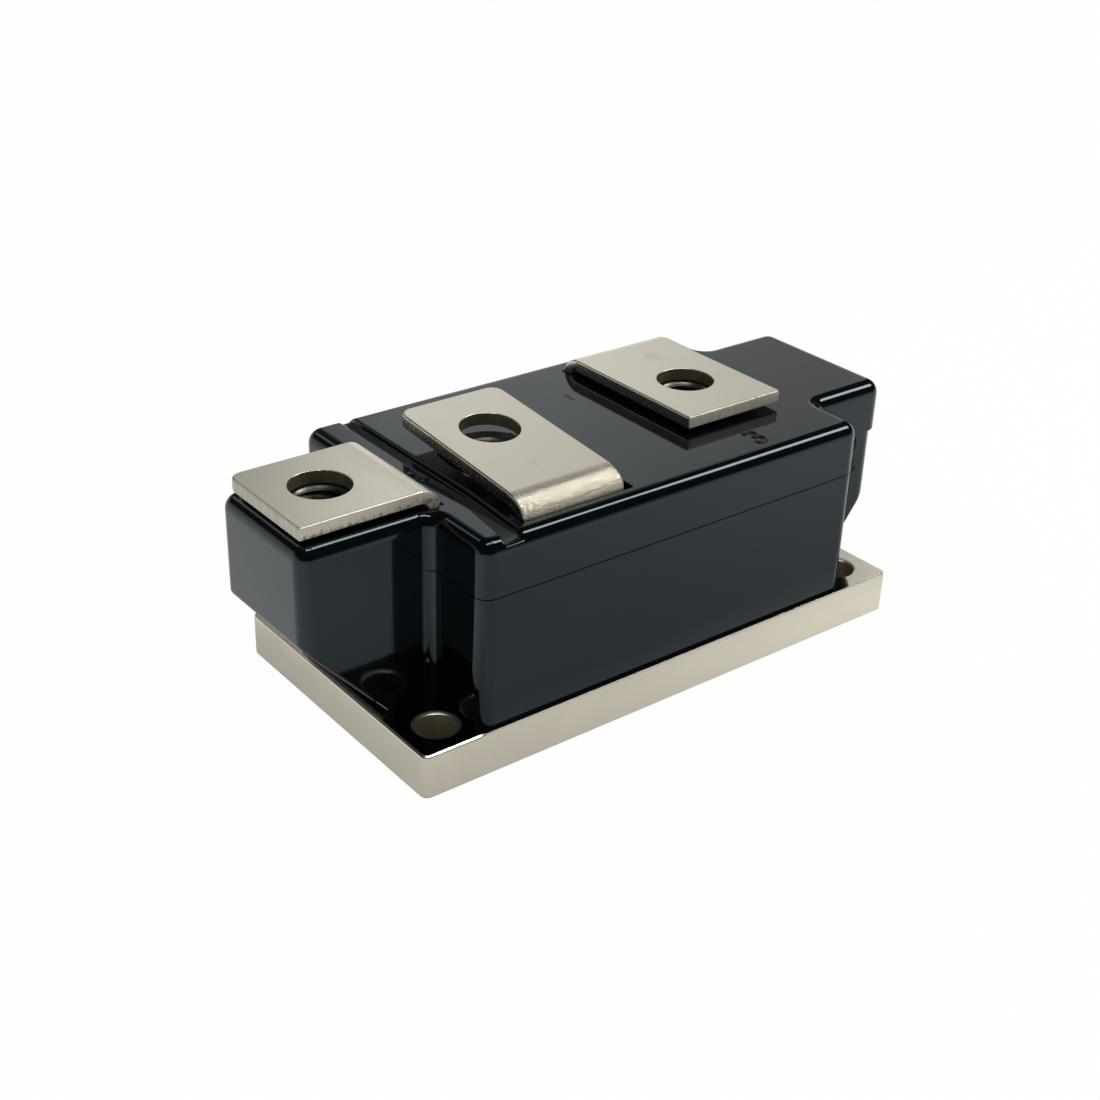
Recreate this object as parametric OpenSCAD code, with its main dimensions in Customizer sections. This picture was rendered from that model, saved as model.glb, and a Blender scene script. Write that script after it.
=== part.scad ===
// Two-chip thyristor module: a nickel-plated base plate, a black moulded housing in two pieces
// and three bent bar terminals over captive nuts, with the chips and their leads inside.
// Millimetres. X runs along the length, with the first terminal's block at -X.
// Y runs across, with the second terminal's leg at -Y. Z is up from the plate's underside.

/* [Base plate] */
// length of the plate
base_l = 92; // [90:0.5:96]
// width of the plate
base_w = 48; // [47:0.5:56]
// thickness of the plate
base_t = 7; // [5:0.5:9]
// radius of the plate's corners
base_corner_r = 1.25; // [1:0.25:4]
// bevel along the plate's upper edges
base_bevel = 0.5; // [0.2:0.1:0.8]
// distance from the plate's ends to the mounting holes
hole_end = 6; // [5:0.1:6.5]
// distance from the plate's long sides to the mounting holes
hole_side = 6; // [5:0.1:7]
// diameter of the mounting holes
hole_d = 6; // [5.4:0.1:6.6]
// bevel round the mounting holes
hole_bevel = 0.3; // [0.2:0.1:0.6]

/* [Housing] */
// length of the main body
body_l = 72; // [71:0.5:73]
// how far the body stands in from each long side of the plate
body_inset = 0.7; // [0.4:0.1:0.9]
// height of the housing above the plate
housing_h = 29.2; // [28:0.2:34]
// height of the seam above the plate
seam_h = 20.7; // [19:0.1:21]
// thickness of the housing walls
wall = 2.5; // [2:0.1:2.8]
// thickness of the deck
deck_t = 2.5; // [2:0.1:3]
// radius of the housing's upright corners
corner_r = 2.4; // [2:0.1:3]
// radius where a terminal block meets the body
inner_r = 2.6; // [2:0.1:3.5]
// radius along the housing's upper edges
top_fillet = 1.8; // [1:0.1:1.9]
// how far the cover stands proud of the frame on the second block
cover_step = 0.4; // [0.2:0.1:0.6]
// how far the cover reaches past the body's end wall to the first block
cover_end = 0.4; // [0.3:0.1:0.8]

/* [First block] */
// distance from the module's centre to the first block's end
block_1_reach = 56.5; // [56:0.5:60]
// width of the first block
block_1_w = 22.4; // [22:0.2:24]
// height of the first block's lower end edge above the plate
block_1_lip = 14; // [10:0.5:16]
// distance from the module's centre to the foot of the first block's slope
block_1_foot = 43.7; // [42:0.1:45]

/* [Second block] */
// distance from the module's centre to the second block's end
block_2_reach = 51.7; // [51:0.1:54]
// width of the second block
block_2_w = 27; // [26:0.2:28]
// height of the second block's lower end edge above the plate
block_2_lip = 10; // [8:0.5:12]
// distance from the module's centre to the foot of the second block's slope
block_2_foot = 43.7; // [42:0.1:45]

/* [Deck groove] */
// depth of the groove in the deck
groove_depth = 1.2; // [1:0.1:2]
// width of the ridge in front of the jog
ridge_front_w = 4; // [3.5:0.1:4.4]
// width of the ridge behind the jog
ridge_w = 5.8; // [5.4:0.1:5.9]
// width of the groove in front of the jog
groove_front_w = 3.1; // [2.8:0.1:3.4]
// width of the groove behind the jog
groove_w = 2.2; // [2:0.1:2.3]
// distance from the front face to the jog
groove_jog = 5.4; // [5:0.1:6]

/* [Terminals] */
// thickness of the terminal bars
bar_t = 2; // [1.6:0.1:2.2]
// inside radius of the bends
bend_r = 1.2; // [0.8:0.1:1.4]
// gap between the deck and the bars
bar_gap = 0.8; // [0.75:0.05:1.2]
// diameter of the screw holes in the bars
bar_hole_d = 9; // [8.4:0.1:9.4]
// radius of the bars' rounded corners
bar_corner_r = 2; // [1:0.25:3]
// room between a bar's leg and its slot
leg_room = 0.3; // [0.2:0.05:0.35]
// room beside a bar's leg in its slot
leg_side_room = 0.4; // [0.3:0.05:0.45]
// extra length of the second bar's slot at one end
slot_key = 1.2; // [0.8:0.1:1.6]
// extra width of the second bar's slot behind its leg
slot_back = 0.4; // [0:0.1:0.6]
// distance from the first block's end to the first screw hole
t1_end = 9.8; // [9.4:0.1:10.5]
// width of the first bar
t1_w = 19.5; // [18:0.25:20]
// distance from the first hole to the bar's free end
t1_tip = 9; // [8:0.1:9.6]
// distance from the body's end wall to the outer face of the first bar's leg
t1_inset = 2.6; // [2.5:0.1:2.8]
// length of the first bar's foot from the outer face of its leg
t1_foot = 5.2; // [3:0.1:5.6]
// X of the second screw hole
t2_x = -18.2; // [-18.4:0.1:-17.5]
// width of the second bar
t2_w = 17.8; // [16:0.2:18]
// distance from the second hole to the bar's free end
t2_tip = 10.7; // [9:0.1:12]
// gap between the frame's front wall and the outer face of the second bar's leg
t2_leg_gap = 0.6; // [0.4:0.1:0.8]
// distance that the second bar's foot reaches past the chip's centre
t2_foot_reach = 7.3; // [6:0.1:9]
// angle that the second bar rises at, away from its bend
t2_rise = 4.5; // [0:0.25:5]
// X of the third screw hole
t3_x = 19.9; // [19.5:0.1:20.4]
// width of the third bar
t3_w = 19; // [17:0.25:20]
// distance from the third hole to the bar's free end
t3_tip = 11.6; // [10:0.1:13]
// gap between the frame's back wall and the outer face of the third bar's leg
t3_leg_gap = 2; // [1.6:0.1:3]
// length of the third bar's foot from the outer face of its leg
t3_foot = 6; // [4:0.1:6.5]

/* [Nuts] */
// distance across the flats of the nuts
nut_af = 13; // [12:0.1:13.2]
// height of the nuts
nut_h = 6.5; // [6:0.1:6.6]
// diameter of the nuts' thread crests
nut_bore_d = 6.8; // [6.6:0.05:7]
// how far the nuts stand above the deck
nut_stand = 0.65; // [0.3:0.05:0.7]
// room round the nuts in their pockets
nut_room = 0.15; // [0.1:0.05:0.3]
// diameter of the well below each nut
well_d = 8.6; // [8.2:0.1:9]
// depth of the well below each nut
well_h = 3; // [2:0.5:3.5]
// thickness of the moulding round the nut pockets
boss_wall = 1.6; // [1.2:0.1:1.8]
// thickness of the moulding under the wells
boss_floor = 1.2; // [1:0.1:1.5]

/* [Chip stacks] */
// thickness of the ceramic plates
ceramic_t = 1; // [0.6:0.1:1.5]
// length of the ceramic plates
ceramic_l = 31; // [30:0.5:31.5]
// gap between the ceramic plates and the frame's long walls
ceramic_gap = 1.8; // [1:0.1:3]
// distance from the module's centre line to the middle of each ceramic plate
ceramic_x = 17; // [16.5:0.1:17.4]
// thickness of the copper pads
pad_t = 0.4; // [0.2:0.1:0.6]
// margin of bare ceramic round each copper pad
pad_margin = 1; // [0.8:0.1:1.2]
// diameter of the lower discs
lower_disc_d = 18; // [17.4:0.1:18.2]
// thickness of the lower discs
lower_disc_t = 1; // [0.8:0.1:1.5]
// diameter of the chips
chip_d = 17; // [15:0.25:17.25]
// thickness of the chips
chip_t = 0.5; // [0.3:0.1:0.8]
// diameter of the upper discs
upper_disc_d = 14; // [12:0.25:14.5]
// thickness of the upper discs
upper_disc_t = 0.8; // [0.6:0.1:1.2]
// diameter of the hole over each chip's gate
gate_hole_d = 5; // [4:0.25:6]
// Y of the first chip's centre
chip_1_y = -1; // [-2:0.1:0]

/* [Link] */
// thickness of the link
link_t = 1.5; // [1:0.1:2]
// width of the link
link_w = 12; // [10:0.5:14]
// distance that the link reaches past the first chip's centre
link_reach = 8; // [6:0.25:9]
// X of the link's upright
link_x = -2; // [-2.2:0.1:-1.8]
// length of the link's foot
link_foot = 4; // [3:0.1:4.5]

/* [Control tabs] */
// width of the tabs
tab_w = 2.8; // [2.4:0.1:3]
// thickness of the tabs
tab_t = 0.8; // [0.5:0.1:1]
// distance from the module's centre line to the inner tabs
tab_y = 4.4; // [4.3:0.1:4.6]
// distance between the tabs of a pair
tab_pitch = 4.6; // [4.4:0.1:4.8]
// how far the tabs stop short of the second block's end
tab_short = 0.9; // [0.5:0.1:1.5]
// X of the tabs' inner ends
tab_root = 30; // [29.8:0.1:30.5]
// room beside the tabs in their slots
tab_room = 0.06; // [0.04:0.01:0.1]
// width of the pockets round the tab pairs
pocket_w = 9; // [8.8:0.1:9.2]
// depth of the pockets in from the second block's end
pocket_l = 7; // [6:0.25:8]
// height of the pockets above and below the seam
pocket_h = 5.1; // [4.9:0.1:5.3]
// diameter of the hole in each tab's blade
tab_hole_d = 1.2; // [1:0.1:1.4]

/* [Leads] */
// diameter of the leads
lead_d = 1.2; // [0.8:0.1:1.4]
// distance from the tabs' inner ends to the leads
lead_inset = 1.2; // [1:0.1:1.5]
// how far the leads' curves are drawn down below the tabs
lead_sag = 18; // [14:0.5:20]
// how far the leads' curves are drawn up above the chips
lead_rise = 22; // [18:0.5:24]
// distance along X from the first chip's gate to its cathode lead
cathode_1_dx = 6; // [5:0.25:7]
// distance along X from the second chip's gate to its cathode lead
cathode_2_dx = 5; // [4:0.25:6]
// distance along Y from a chip's gate to its cathode lead
cathode_dy = 3.6; // [3:0.1:4]

/* [Hidden] */

nickel = [0.74, 0.72, 0.68];
black = [0.05, 0.055, 0.065];
steel = [0.62, 0.62, 0.62];
white = [0.9, 0.9, 0.87];
copper = [0.72, 0.44, 0.3];
moly = [0.5, 0.51, 0.53];
silicon = [0.28, 0.3, 0.34];
tin = [0.78, 0.78, 0.76];
red = [0.6, 0.1, 0.08];

// overshoot of every cut past the face that it opens
over = 1;
// steps in each rounded corner of an outline
arc_steps = 6;
// sides and steps of a lead
lead_sides = 8;
lead_steps = 18;
// sides of a round hole or disc
round_n = 64;

body_w = base_w - 2 * body_inset;
body_x = body_l / 2;
body_y = body_w / 2;
deck_z = base_t + housing_h;
seam_z = base_t + seam_h;
cavity_x = body_x - wall;
cavity_y = body_y - wall;
bar_top = deck_z + bar_gap + bar_t;
bend_out = bend_r + bar_t;
nut_top = deck_z + nut_stand;
nut_z = nut_top - nut_h;
nut_corner = nut_af / 2 / cos(30);
pocket_corner = (nut_af / 2 + nut_room) / cos(30);
boss_r = pocket_corner + boss_wall;
boss_z = nut_z - well_h - boss_floor;
pad_z = base_t + ceramic_t;
foot_z = pad_z + pad_t;
chip_z = foot_z + lower_disc_t;
disc_z = chip_z + chip_t;
stack_z = disc_z + upper_disc_t;
t1_x = t1_end - block_1_reach;
t1_face = t1_inset - body_x;
t1_leg = t1_face - t1_x;
t2_leg = cavity_y - t2_leg_gap;
t2_foot = t2_leg + t2_foot_reach;
t3_leg = cavity_y - t3_leg_gap;
ceramic_w = 2 * (cavity_y - ceramic_gap);
tab_z = seam_z - tab_t;
tab_end = block_2_reach - tab_short;
pocket_y = tab_y + tab_pitch / 2;

// points of an arc about c
function arc(c, r, a0, a1) =
    [for (i = [0 : arc_steps]) let (a = a0 + (a1 - a0) * i / arc_steps) c + r * [cos(a), sin(a)]];

// what a round corner at the origin, towards +X and +Y, cuts away from a square one
function corner_cut(r) = let (step = 90 / arc_steps, long = r / cos(step / 2), reach = r * tan(step) + over,
    a = r * [cos(step), sin(step)] + reach * [sin(step), -cos(step)])
    concat([[over, over], [a[1], a[0]] - [r, r]],
           [for (i = [arc_steps - 2 : -1 : 1]) let (t = step * (i + 0.5)) long * [cos(t), sin(t)] - [r, r]],
           [a - [r, r]]);

// rectangle with rounded corners, centred
function round_rect(l, w, r) = let (x = l / 2 - r, y = w / 2 - r)
    concat(arc([x, y], r, 0, 90), arc([-x, y], r, 90, 180),
           arc([-x, -y], r, 180, 270), arc([x, -y], r, 270, 360));

// outline of the housing, with the second block drawn in by step
function outline(step) = let (
    y1 = block_1_w / 2,
    y2 = block_2_w / 2 - step,
    half = concat(arc([block_2_reach - step - corner_r, y2 - corner_r], corner_r, 0, 90),
                  arc([body_x + inner_r, y2 + inner_r], inner_r, -90, -180),
                  arc([body_x - corner_r, body_y - corner_r], corner_r, 0, 90),
                  arc([corner_r - body_x, body_y - corner_r], corner_r, 90, 180),
                  arc([-body_x - inner_r, y1 + inner_r], inner_r, 0, -90),
                  arc([corner_r - block_1_reach, y1 - corner_r], corner_r, 90, 180)))
    concat(half, [for (i = [len(half) - 1 : -1 : 0]) [half[i][0], -half[i][1]]]);

// the whole housing as one filled form with square upper edges
module housing_form(step) {
    translate([0, 0, base_t])
        linear_extrude(housing_h)
            polygon(outline(step));
}

// what the rounding takes off an upper edge that runs for l about p, on a wall facing angle a
module round_edge(p, a, l) {
    translate([p[0], p[1], deck_z])
        rotate([0, 0, a])
            translate([0, l / 2, 0])
                rotate([90, 0, 0])
                    linear_extrude(l)
                        polygon(corner_cut(top_fillet));
}

// the same round a corner of the outline about c, in the quarter whose middle faces angle a
module round_corner(c, a) {
    round_edge(c + corner_r * [cos(a), sin(a)], a, 2 * corner_r);
}

// the same round an inner corner of the outline about c, in the quarter that starts at angle a
module round_inner(c, a) {
    translate([c[0], c[1], deck_z])
        rotate([0, 0, a])
            rotate_extrude(angle = 90, $fn = round_n)
                translate([inner_r, 0])
                    mirror([1, 0])
                        polygon(corner_cut(top_fillet));
}

// the rounding along a block's end and sides, drawn for a block at +X
module round_block(reach, w) {
    l = reach - body_x - inner_r;
    round_edge([reach, 0], 0, w + 2 * over);
    for (s = [-1, 1]) {
        round_edge([reach - l / 2 + over / 2, s * w / 2], s * 90, l + over);
        round_corner([reach - corner_r, s * (w / 2 - corner_r)], s * 45);
        round_inner([body_x + inner_r, s * (w / 2 + inner_r)], 135 + s * 45);
    }
}

// the rounding along the body's end wall beside a block, drawn for an end at +X
module round_end(w) {
    y = w / 2 + inner_r;
    l = body_y - y + over;
    for (s = [-1, 1]) {
        round_edge([body_x, s * (y + l / 2)], 0, l);
        round_corner([body_x - corner_r, s * (body_y - corner_r)], s * 45);
    }
}

// the space above the seam that the cover takes, as far as the first block
module above_seam() {
    end = body_x + cover_end;
    translate([-end, -base_w, seam_z])
        cube([end + block_2_reach + over, 2 * base_w, housing_h]);
}

// the slope under a terminal block, drawn for a block at +X
module slope(foot, reach, lip) {
    run = reach - foot;
    grow = over / run;
    translate([0, base_w / 2, 0])
        rotate([90, 0, 0])
            linear_extrude(base_w)
                polygon([[foot, base_t], [reach + over, base_t + lip * (1 + grow)],
                         [reach + over, base_t - over], [foot, base_t - over]]);
}

// the pocket and well for a nut at x
module nut_space(x) {
    translate([x, 0, nut_z])
        rotate([0, 0, 30])
            cylinder(h = nut_h + over, r = pocket_corner, $fn = 6);
    translate([x, 0, nut_z - well_h])
        cylinder(h = well_h + over, d = well_d, $fn = round_n);
}

// the pockets round the tab pairs
module tab_pockets() {
    for (s = [-1, 1])
        translate([block_2_reach - pocket_l, s * pocket_y - pocket_w / 2, seam_z - pocket_h])
            cube([pocket_l + over, pocket_w, 2 * pocket_h]);
}

// profile of a bar with its outer leg face at x = 0, its plate and its foot both towards -X
function u_profile(reach, foot, low, rise) = let (
    c1 = [-bend_out, bar_top - bend_out],
    c2 = [-bend_out, low + bend_out],
    away = [-cos(rise), sin(rise)],
    up = [sin(rise), cos(rise)],
    run = reach - bend_out * (1 - sin(rise)))
    concat(arc(c1, bend_out, 0, 90 - rise),
           [c1 + bend_out * up + run / cos(rise) * away, c1 + bend_r * up + run / cos(rise) * away],
           arc(c1, bend_r, 90 - rise, 0), arc(c2, bend_r, 0, -90),
           [[-foot, low + bar_t], [-foot, low]],
           arc(c2, bend_out, -90, 0));

// profile of a bar with its outer leg face at x = 0, its plate towards -X and its foot towards +X
function z_profile(reach, foot, low) = let (
    c1 = [-bend_out, bar_top - bend_out],
    c2 = [bend_r, low + bend_out])
    concat(arc(c1, bend_out, 0, 90),
           [[-reach, bar_top], [-reach, bar_top - bar_t]],
           arc(c1, bend_r, 90, 0), arc(c2, bend_out, 180, 270),
           [[foot, low], [foot, low + bar_t]],
           arc(c2, bend_r, 270, 180));

// a profile in X and Z drawn out by w across Y, centred
module across(w) {
    translate([0, w / 2, 0])
        rotate([90, 0, 0])
            linear_extrude(w)
                children();
}

// tab blade with a tapered tip, along +X from its root, lying on its underside
module tab(y) {
    tip = tab_w / 4;
    color(tin)
        difference() {
            translate([0, y, tab_z])
                linear_extrude(tab_t)
                    polygon([[tab_root, -tab_w / 2], [tab_end - tip, -tab_w / 2], [tab_end, -tip],
                             [tab_end, tip], [tab_end - tip, tab_w / 2], [tab_root, tab_w / 2]]);
            translate([tab_end - tab_w, y, tab_z - over])
                cylinder(h = tab_t + 2 * over, d = tab_hole_d, $fn = round_n);
        }
}

// points of a curve that leaves p downwards and comes down on q
function curve(p, q) = let (p1 = p - [0, 0, lead_sag], q1 = q + [0, 0, lead_rise])
    [for (i = [0 : lead_steps]) let (t = i / lead_steps, s = 1 - t)
        s * s * s * p + 3 * s * s * t * p1 + 3 * s * t * t * q1 + t * t * t * q];

// direction of that curve at each point
function slopes(p, q) = let (p1 = p - [0, 0, lead_sag], q1 = q + [0, 0, lead_rise])
    [for (i = [0 : lead_steps]) let (t = i / lead_steps, s = 1 - t,
        d = s * s * (p1 - p) + 2 * s * t * (q1 - p1) + t * t * (q - q1)) d / norm(d)];

// a lead from a tab at p to a contact at q
module lead(p, q) {
    flat = [q[0] - p[0], q[1] - p[1], 0];
    side = cross([0, 0, 1], flat / norm(flat));
    path = curve(p, q);
    way = slopes(p, q);
    n = lead_sides;
    points = [for (k = [0 : lead_steps]) let (up = cross(way[k], side))
        each [for (i = [0 : n - 1]) path[k] + lead_d / 2 * (cos(360 * i / n) * side + sin(360 * i / n) * up)]];
    sides = [for (k = [0 : lead_steps - 1], i = [0 : n - 1]) let (
        a = k * n + i,
        b = k * n + (i + 1) % n) each [[a, a + n, b + n], [a, b + n, b]]];
    first = [for (i = [0 : n - 1]) i];
    last = [for (i = [n - 1 : -1 : 0]) lead_steps * n + i];
    polyhedron(points, concat([first, last], sides));
}

module lead_from(y, q) {
    color(red)
        lead([tab_root + lead_inset, y, tab_z], q);
}

module base_plate() {
    cut = base_bevel * sqrt(2);
    color(nickel)
        difference() {
            linear_extrude(base_t)
                polygon(round_rect(base_l, base_w, base_corner_r));
            for (s = [-1, 1]) {
                translate([0, s * base_w / 2, base_t])
                    rotate([45, 0, 0])
                        cube([base_l + 2 * over, cut, cut], center = true);
                translate([s * base_l / 2, 0, base_t])
                    rotate([0, 45, 0])
                        cube([cut, base_w + 2 * over, cut], center = true);
            }
            for (x = [-1, 1], y = [-1, 1])
                translate([x * (base_l / 2 - hole_end), y * (base_w / 2 - hole_side), 0]) {
                    translate([0, 0, -over])
                        cylinder(h = base_t + 2 * over, d = hole_d, $fn = round_n);
                    translate([0, 0, base_t - hole_bevel])
                        cylinder(h = 2 * hole_bevel, r1 = hole_d / 2, r2 = hole_d / 2 + 2 * hole_bevel, $fn = round_n);
                }
        }
}

module housing_frame() {
    leg_y = t1_w / 2 + leg_side_room;
    color(black)
        difference() {
            housing_form(cover_step);
            above_seam();
            mirror([1, 0, 0])
                round_block(block_1_reach, block_1_w);
            translate([-cavity_x, -cavity_y, base_t - over])
                cube([2 * cavity_x, 2 * cavity_y, housing_h]);
            translate([t1_face - bar_t - leg_room, -leg_y, base_t - over])
                cube([bar_t + 2 * leg_room, 2 * leg_y, housing_h + 2 * over]);
            slope(block_2_foot, block_2_reach - cover_step, block_2_lip);
            mirror([1, 0, 0])
                slope(block_1_foot, block_1_reach, block_1_lip);
            nut_space(t1_x);
            tab_pockets();
            for (s = [-1, 1], k = [0, 1])
                translate([cavity_x - over, s * (tab_y + k * tab_pitch) - tab_w / 2 - tab_room, tab_z])
                    cube([block_2_reach, tab_w + 2 * tab_room, tab_t + over]);
        }
}

module housing_cover() {
    leg_1 = t1_w / 2 + leg_side_room;
    leg_2 = t2_w / 2 + leg_side_room;
    leg_3 = t3_w / 2 + leg_side_room;
    slot_w = bar_t + 2 * leg_room;
    color(black)
        difference() {
            union() {
                difference() {
                    intersection() {
                        housing_form(0);
                        above_seam();
                    }
                    translate([-cavity_x, -cavity_y, seam_z - over])
                        cube([2 * cavity_x, 2 * cavity_y, deck_z - deck_t - seam_z + over]);
                    for (s = [-1, 1])
                        round_edge([0, s * body_y], s * 90, body_l + 2 * over);
                    round_block(block_2_reach, block_2_w);
                    round_end(block_2_w);
                    mirror([1, 0, 0]) {
                        round_block(block_1_reach, block_1_w);
                        round_end(block_1_w);
                    }
                }
                for (x = [t2_x, t3_x])
                    translate([x, 0, boss_z])
                        cylinder(h = deck_z - deck_t / 2 - boss_z, r = boss_r, $fn = round_n);
            }
            nut_space(t2_x);
            nut_space(t3_x);
            tab_pockets();
            translate([-body_x - cover_end - over, -leg_1, seam_z - over])
                cube([t1_face + leg_room + body_x + cover_end + over, 2 * leg_1, housing_h]);
            translate([t2_x - leg_2, -t2_leg - leg_room, seam_z])
                cube([2 * leg_2 + slot_key, slot_w + slot_back, housing_h]);
            translate([t3_x - leg_3, t3_leg + leg_room - slot_w, seam_z])
                cube([2 * leg_3, slot_w, housing_h]);
            translate([ridge_front_w - body_x, -base_w, deck_z - groove_depth])
                cube([groove_front_w, base_w - body_y + groove_jog, housing_h]);
            translate([ridge_w - body_x, groove_jog - body_y, deck_z - groove_depth])
                cube([groove_w, base_w, housing_h]);
        }
}

module terminal_1() {
    tip = t1_x - t1_tip;
    color(nickel)
        difference() {
            translate([t1_face, 0, 0])
                across(t1_w)
                    polygon(z_profile(t1_tip + t1_leg, t1_foot, foot_z));
            translate([t1_x, 0, bar_top - bar_t - over])
                cylinder(h = bar_t + 2 * over, d = bar_hole_d, $fn = round_n);
            translate([tip, t1_w / 2, bar_top - bar_t - over])
                linear_extrude(bar_t + 2 * over)
                    mirror([1, 0, 0])
                        polygon(corner_cut(bar_corner_r));
        }
}

module terminal_2() {
    c = [0, bend_out - t2_leg, bar_top - bend_out];
    hole_y = c[1] + ((bend_out - bar_t / 2) * sin(t2_rise) - c[1]) / cos(t2_rise);
    end_y = c[1] + (t2_leg + t2_tip - bend_out * (1 - sin(t2_rise))) / cos(t2_rise);
    color(nickel)
        difference() {
            translate([t2_x, 0, 0])
                rotate([0, 0, -90])
                    translate([t2_leg, 0, 0])
                        across(t2_w)
                            polygon(u_profile(t2_leg + t2_tip, t2_foot, stack_z, t2_rise));
            translate([t2_x, 0, 0])
                translate(c)
                    rotate([t2_rise, 0, 0])
                        translate(-c) {
                            translate([0, hole_y, bar_top - bar_t - over])
                                cylinder(h = bar_t + 2 * over, d = bar_hole_d, $fn = round_n);
                            for (s = [0, 1])
                                mirror([s, 0, 0])
                                    translate([t2_w / 2, end_y, bar_top - bar_t - over])
                                        linear_extrude(bar_t + 2 * over)
                                            polygon(corner_cut(bar_corner_r));
                        }
            translate([t2_x, 0, stack_z - over])
                cylinder(h = bar_t + 2 * over, d = gate_hole_d, $fn = round_n);
        }
}

module terminal_3() {
    color(nickel)
        difference() {
            translate([t3_x, 0, 0])
                rotate([0, 0, 90])
                    translate([t3_leg, 0, 0])
                        across(t3_w)
                            polygon(u_profile(t3_leg + t3_tip, t3_foot, foot_z, 0));
            translate([t3_x, 0, bar_top - bar_t - over])
                cylinder(h = bar_t + 2 * over, d = bar_hole_d, $fn = round_n);
        }
}

module nut(x) {
    chamfer = (nut_corner - nut_af / 2) * tan(30);
    color(steel)
        translate([x, 0, nut_z])
            difference() {
                intersection() {
                    rotate([0, 0, 30])
                        cylinder(h = nut_h, r = nut_corner, $fn = 6);
                    rotate_extrude($fn = round_n)
                        polygon([[0, 0], [nut_corner + over, 0], [nut_corner + over, nut_h - chamfer - over * tan(30)],
                                 [nut_af / 2, nut_h], [0, nut_h]]);
                }
                translate([0, 0, -over])
                    cylinder(h = nut_h + 2 * over, d = nut_bore_d, $fn = round_n);
            }
}

module nut_1() {
    nut(t1_x);
}

module nut_2() {
    nut(t2_x);
}

module nut_3() {
    nut(t3_x);
}

module ceramic(x) {
    color(white)
        translate([x - ceramic_l / 2, -ceramic_w / 2, base_t])
            cube([ceramic_l, ceramic_w, ceramic_t]);
}

module ceramic_1() {
    ceramic(ceramic_x);
}

module ceramic_2() {
    ceramic(-ceramic_x);
}

module copper_pad(x) {
    color(copper)
        translate([x - ceramic_l / 2 + pad_margin, pad_margin - ceramic_w / 2, pad_z])
            cube([ceramic_l - 2 * pad_margin, ceramic_w - 2 * pad_margin, pad_t]);
}

module copper_pad_1() {
    copper_pad(ceramic_x);
}

module copper_pad_2() {
    copper_pad(-ceramic_x);
}

module disc(x, y, z, d, t) {
    translate([x, y, z])
        cylinder(h = t, d = d, $fn = round_n);
}

module lower_disc_1() {
    color(moly)
        disc(t3_x, chip_1_y, foot_z, lower_disc_d, lower_disc_t);
}

module lower_disc_2() {
    color(moly)
        disc(t2_x, 0, foot_z, lower_disc_d, lower_disc_t);
}

module chip_1() {
    color(silicon)
        disc(t3_x, chip_1_y, chip_z, chip_d, chip_t);
}

module chip_2() {
    color(silicon)
        disc(t2_x, 0, chip_z, chip_d, chip_t);
}

module upper_disc(x, y) {
    color(moly)
        difference() {
            disc(x, y, disc_z, upper_disc_d, upper_disc_t);
            disc(x, y, disc_z - over, gate_hole_d, upper_disc_t + 2 * over);
        }
}

module upper_disc_1() {
    upper_disc(t3_x, chip_1_y);
}

module upper_disc_2() {
    upper_disc(t2_x, 0);
}

module cathode_link() {
    end = t3_x + link_reach;
    color(copper)
        difference() {
            translate([0, chip_1_y, 0])
                across(link_w)
                    polygon([[link_x - link_foot, foot_z], [link_x, foot_z], [link_x, stack_z], [end, stack_z],
                             [end, stack_z + link_t], [link_x - link_t, stack_z + link_t],
                             [link_x - link_t, foot_z + link_t], [link_x - link_foot, foot_z + link_t]]);
            disc(t3_x, chip_1_y, stack_z - over, gate_hole_d, link_t + 2 * over);
        }
}

module gate_tab_1() {
    tab(-tab_y);
}

module cathode_tab_1() {
    tab(-tab_y - tab_pitch);
}

module gate_tab_2() {
    tab(tab_y);
}

module cathode_tab_2() {
    tab(tab_y + tab_pitch);
}

module gate_lead_1() {
    lead_from(-tab_y, [t3_x, chip_1_y, disc_z]);
}

module cathode_lead_1() {
    lead_from(-tab_y - tab_pitch, [t3_x + cathode_1_dx, chip_1_y - cathode_dy, stack_z + link_t]);
}

module gate_lead_2() {
    lead_from(tab_y, [t2_x, 0, disc_z]);
}

module cathode_lead_2() {
    lead_from(tab_y + tab_pitch, [t2_x + cathode_2_dx, cathode_dy, stack_z + bar_t]);
}

base_plate();
housing_frame();
housing_cover();
terminal_1();
terminal_2();
terminal_3();
nut_1();
nut_2();
nut_3();
ceramic_1();
ceramic_2();
copper_pad_1();
copper_pad_2();
lower_disc_1();
lower_disc_2();
chip_1();
chip_2();
upper_disc_1();
upper_disc_2();
cathode_link();
gate_tab_1();
cathode_tab_1();
gate_tab_2();
cathode_tab_2();
gate_lead_1();
cathode_lead_1();
gate_lead_2();
cathode_lead_2();
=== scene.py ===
"""Looks of a two-chip thyristor module: rounded mouldings, bent bars, finishes, light and camera.

Shapes are drawn in millimetres in the object's own frame and turned to metres when a piece is made.
"""
import math

import bmesh
import bpy
from mathutils import Matrix, Vector


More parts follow.
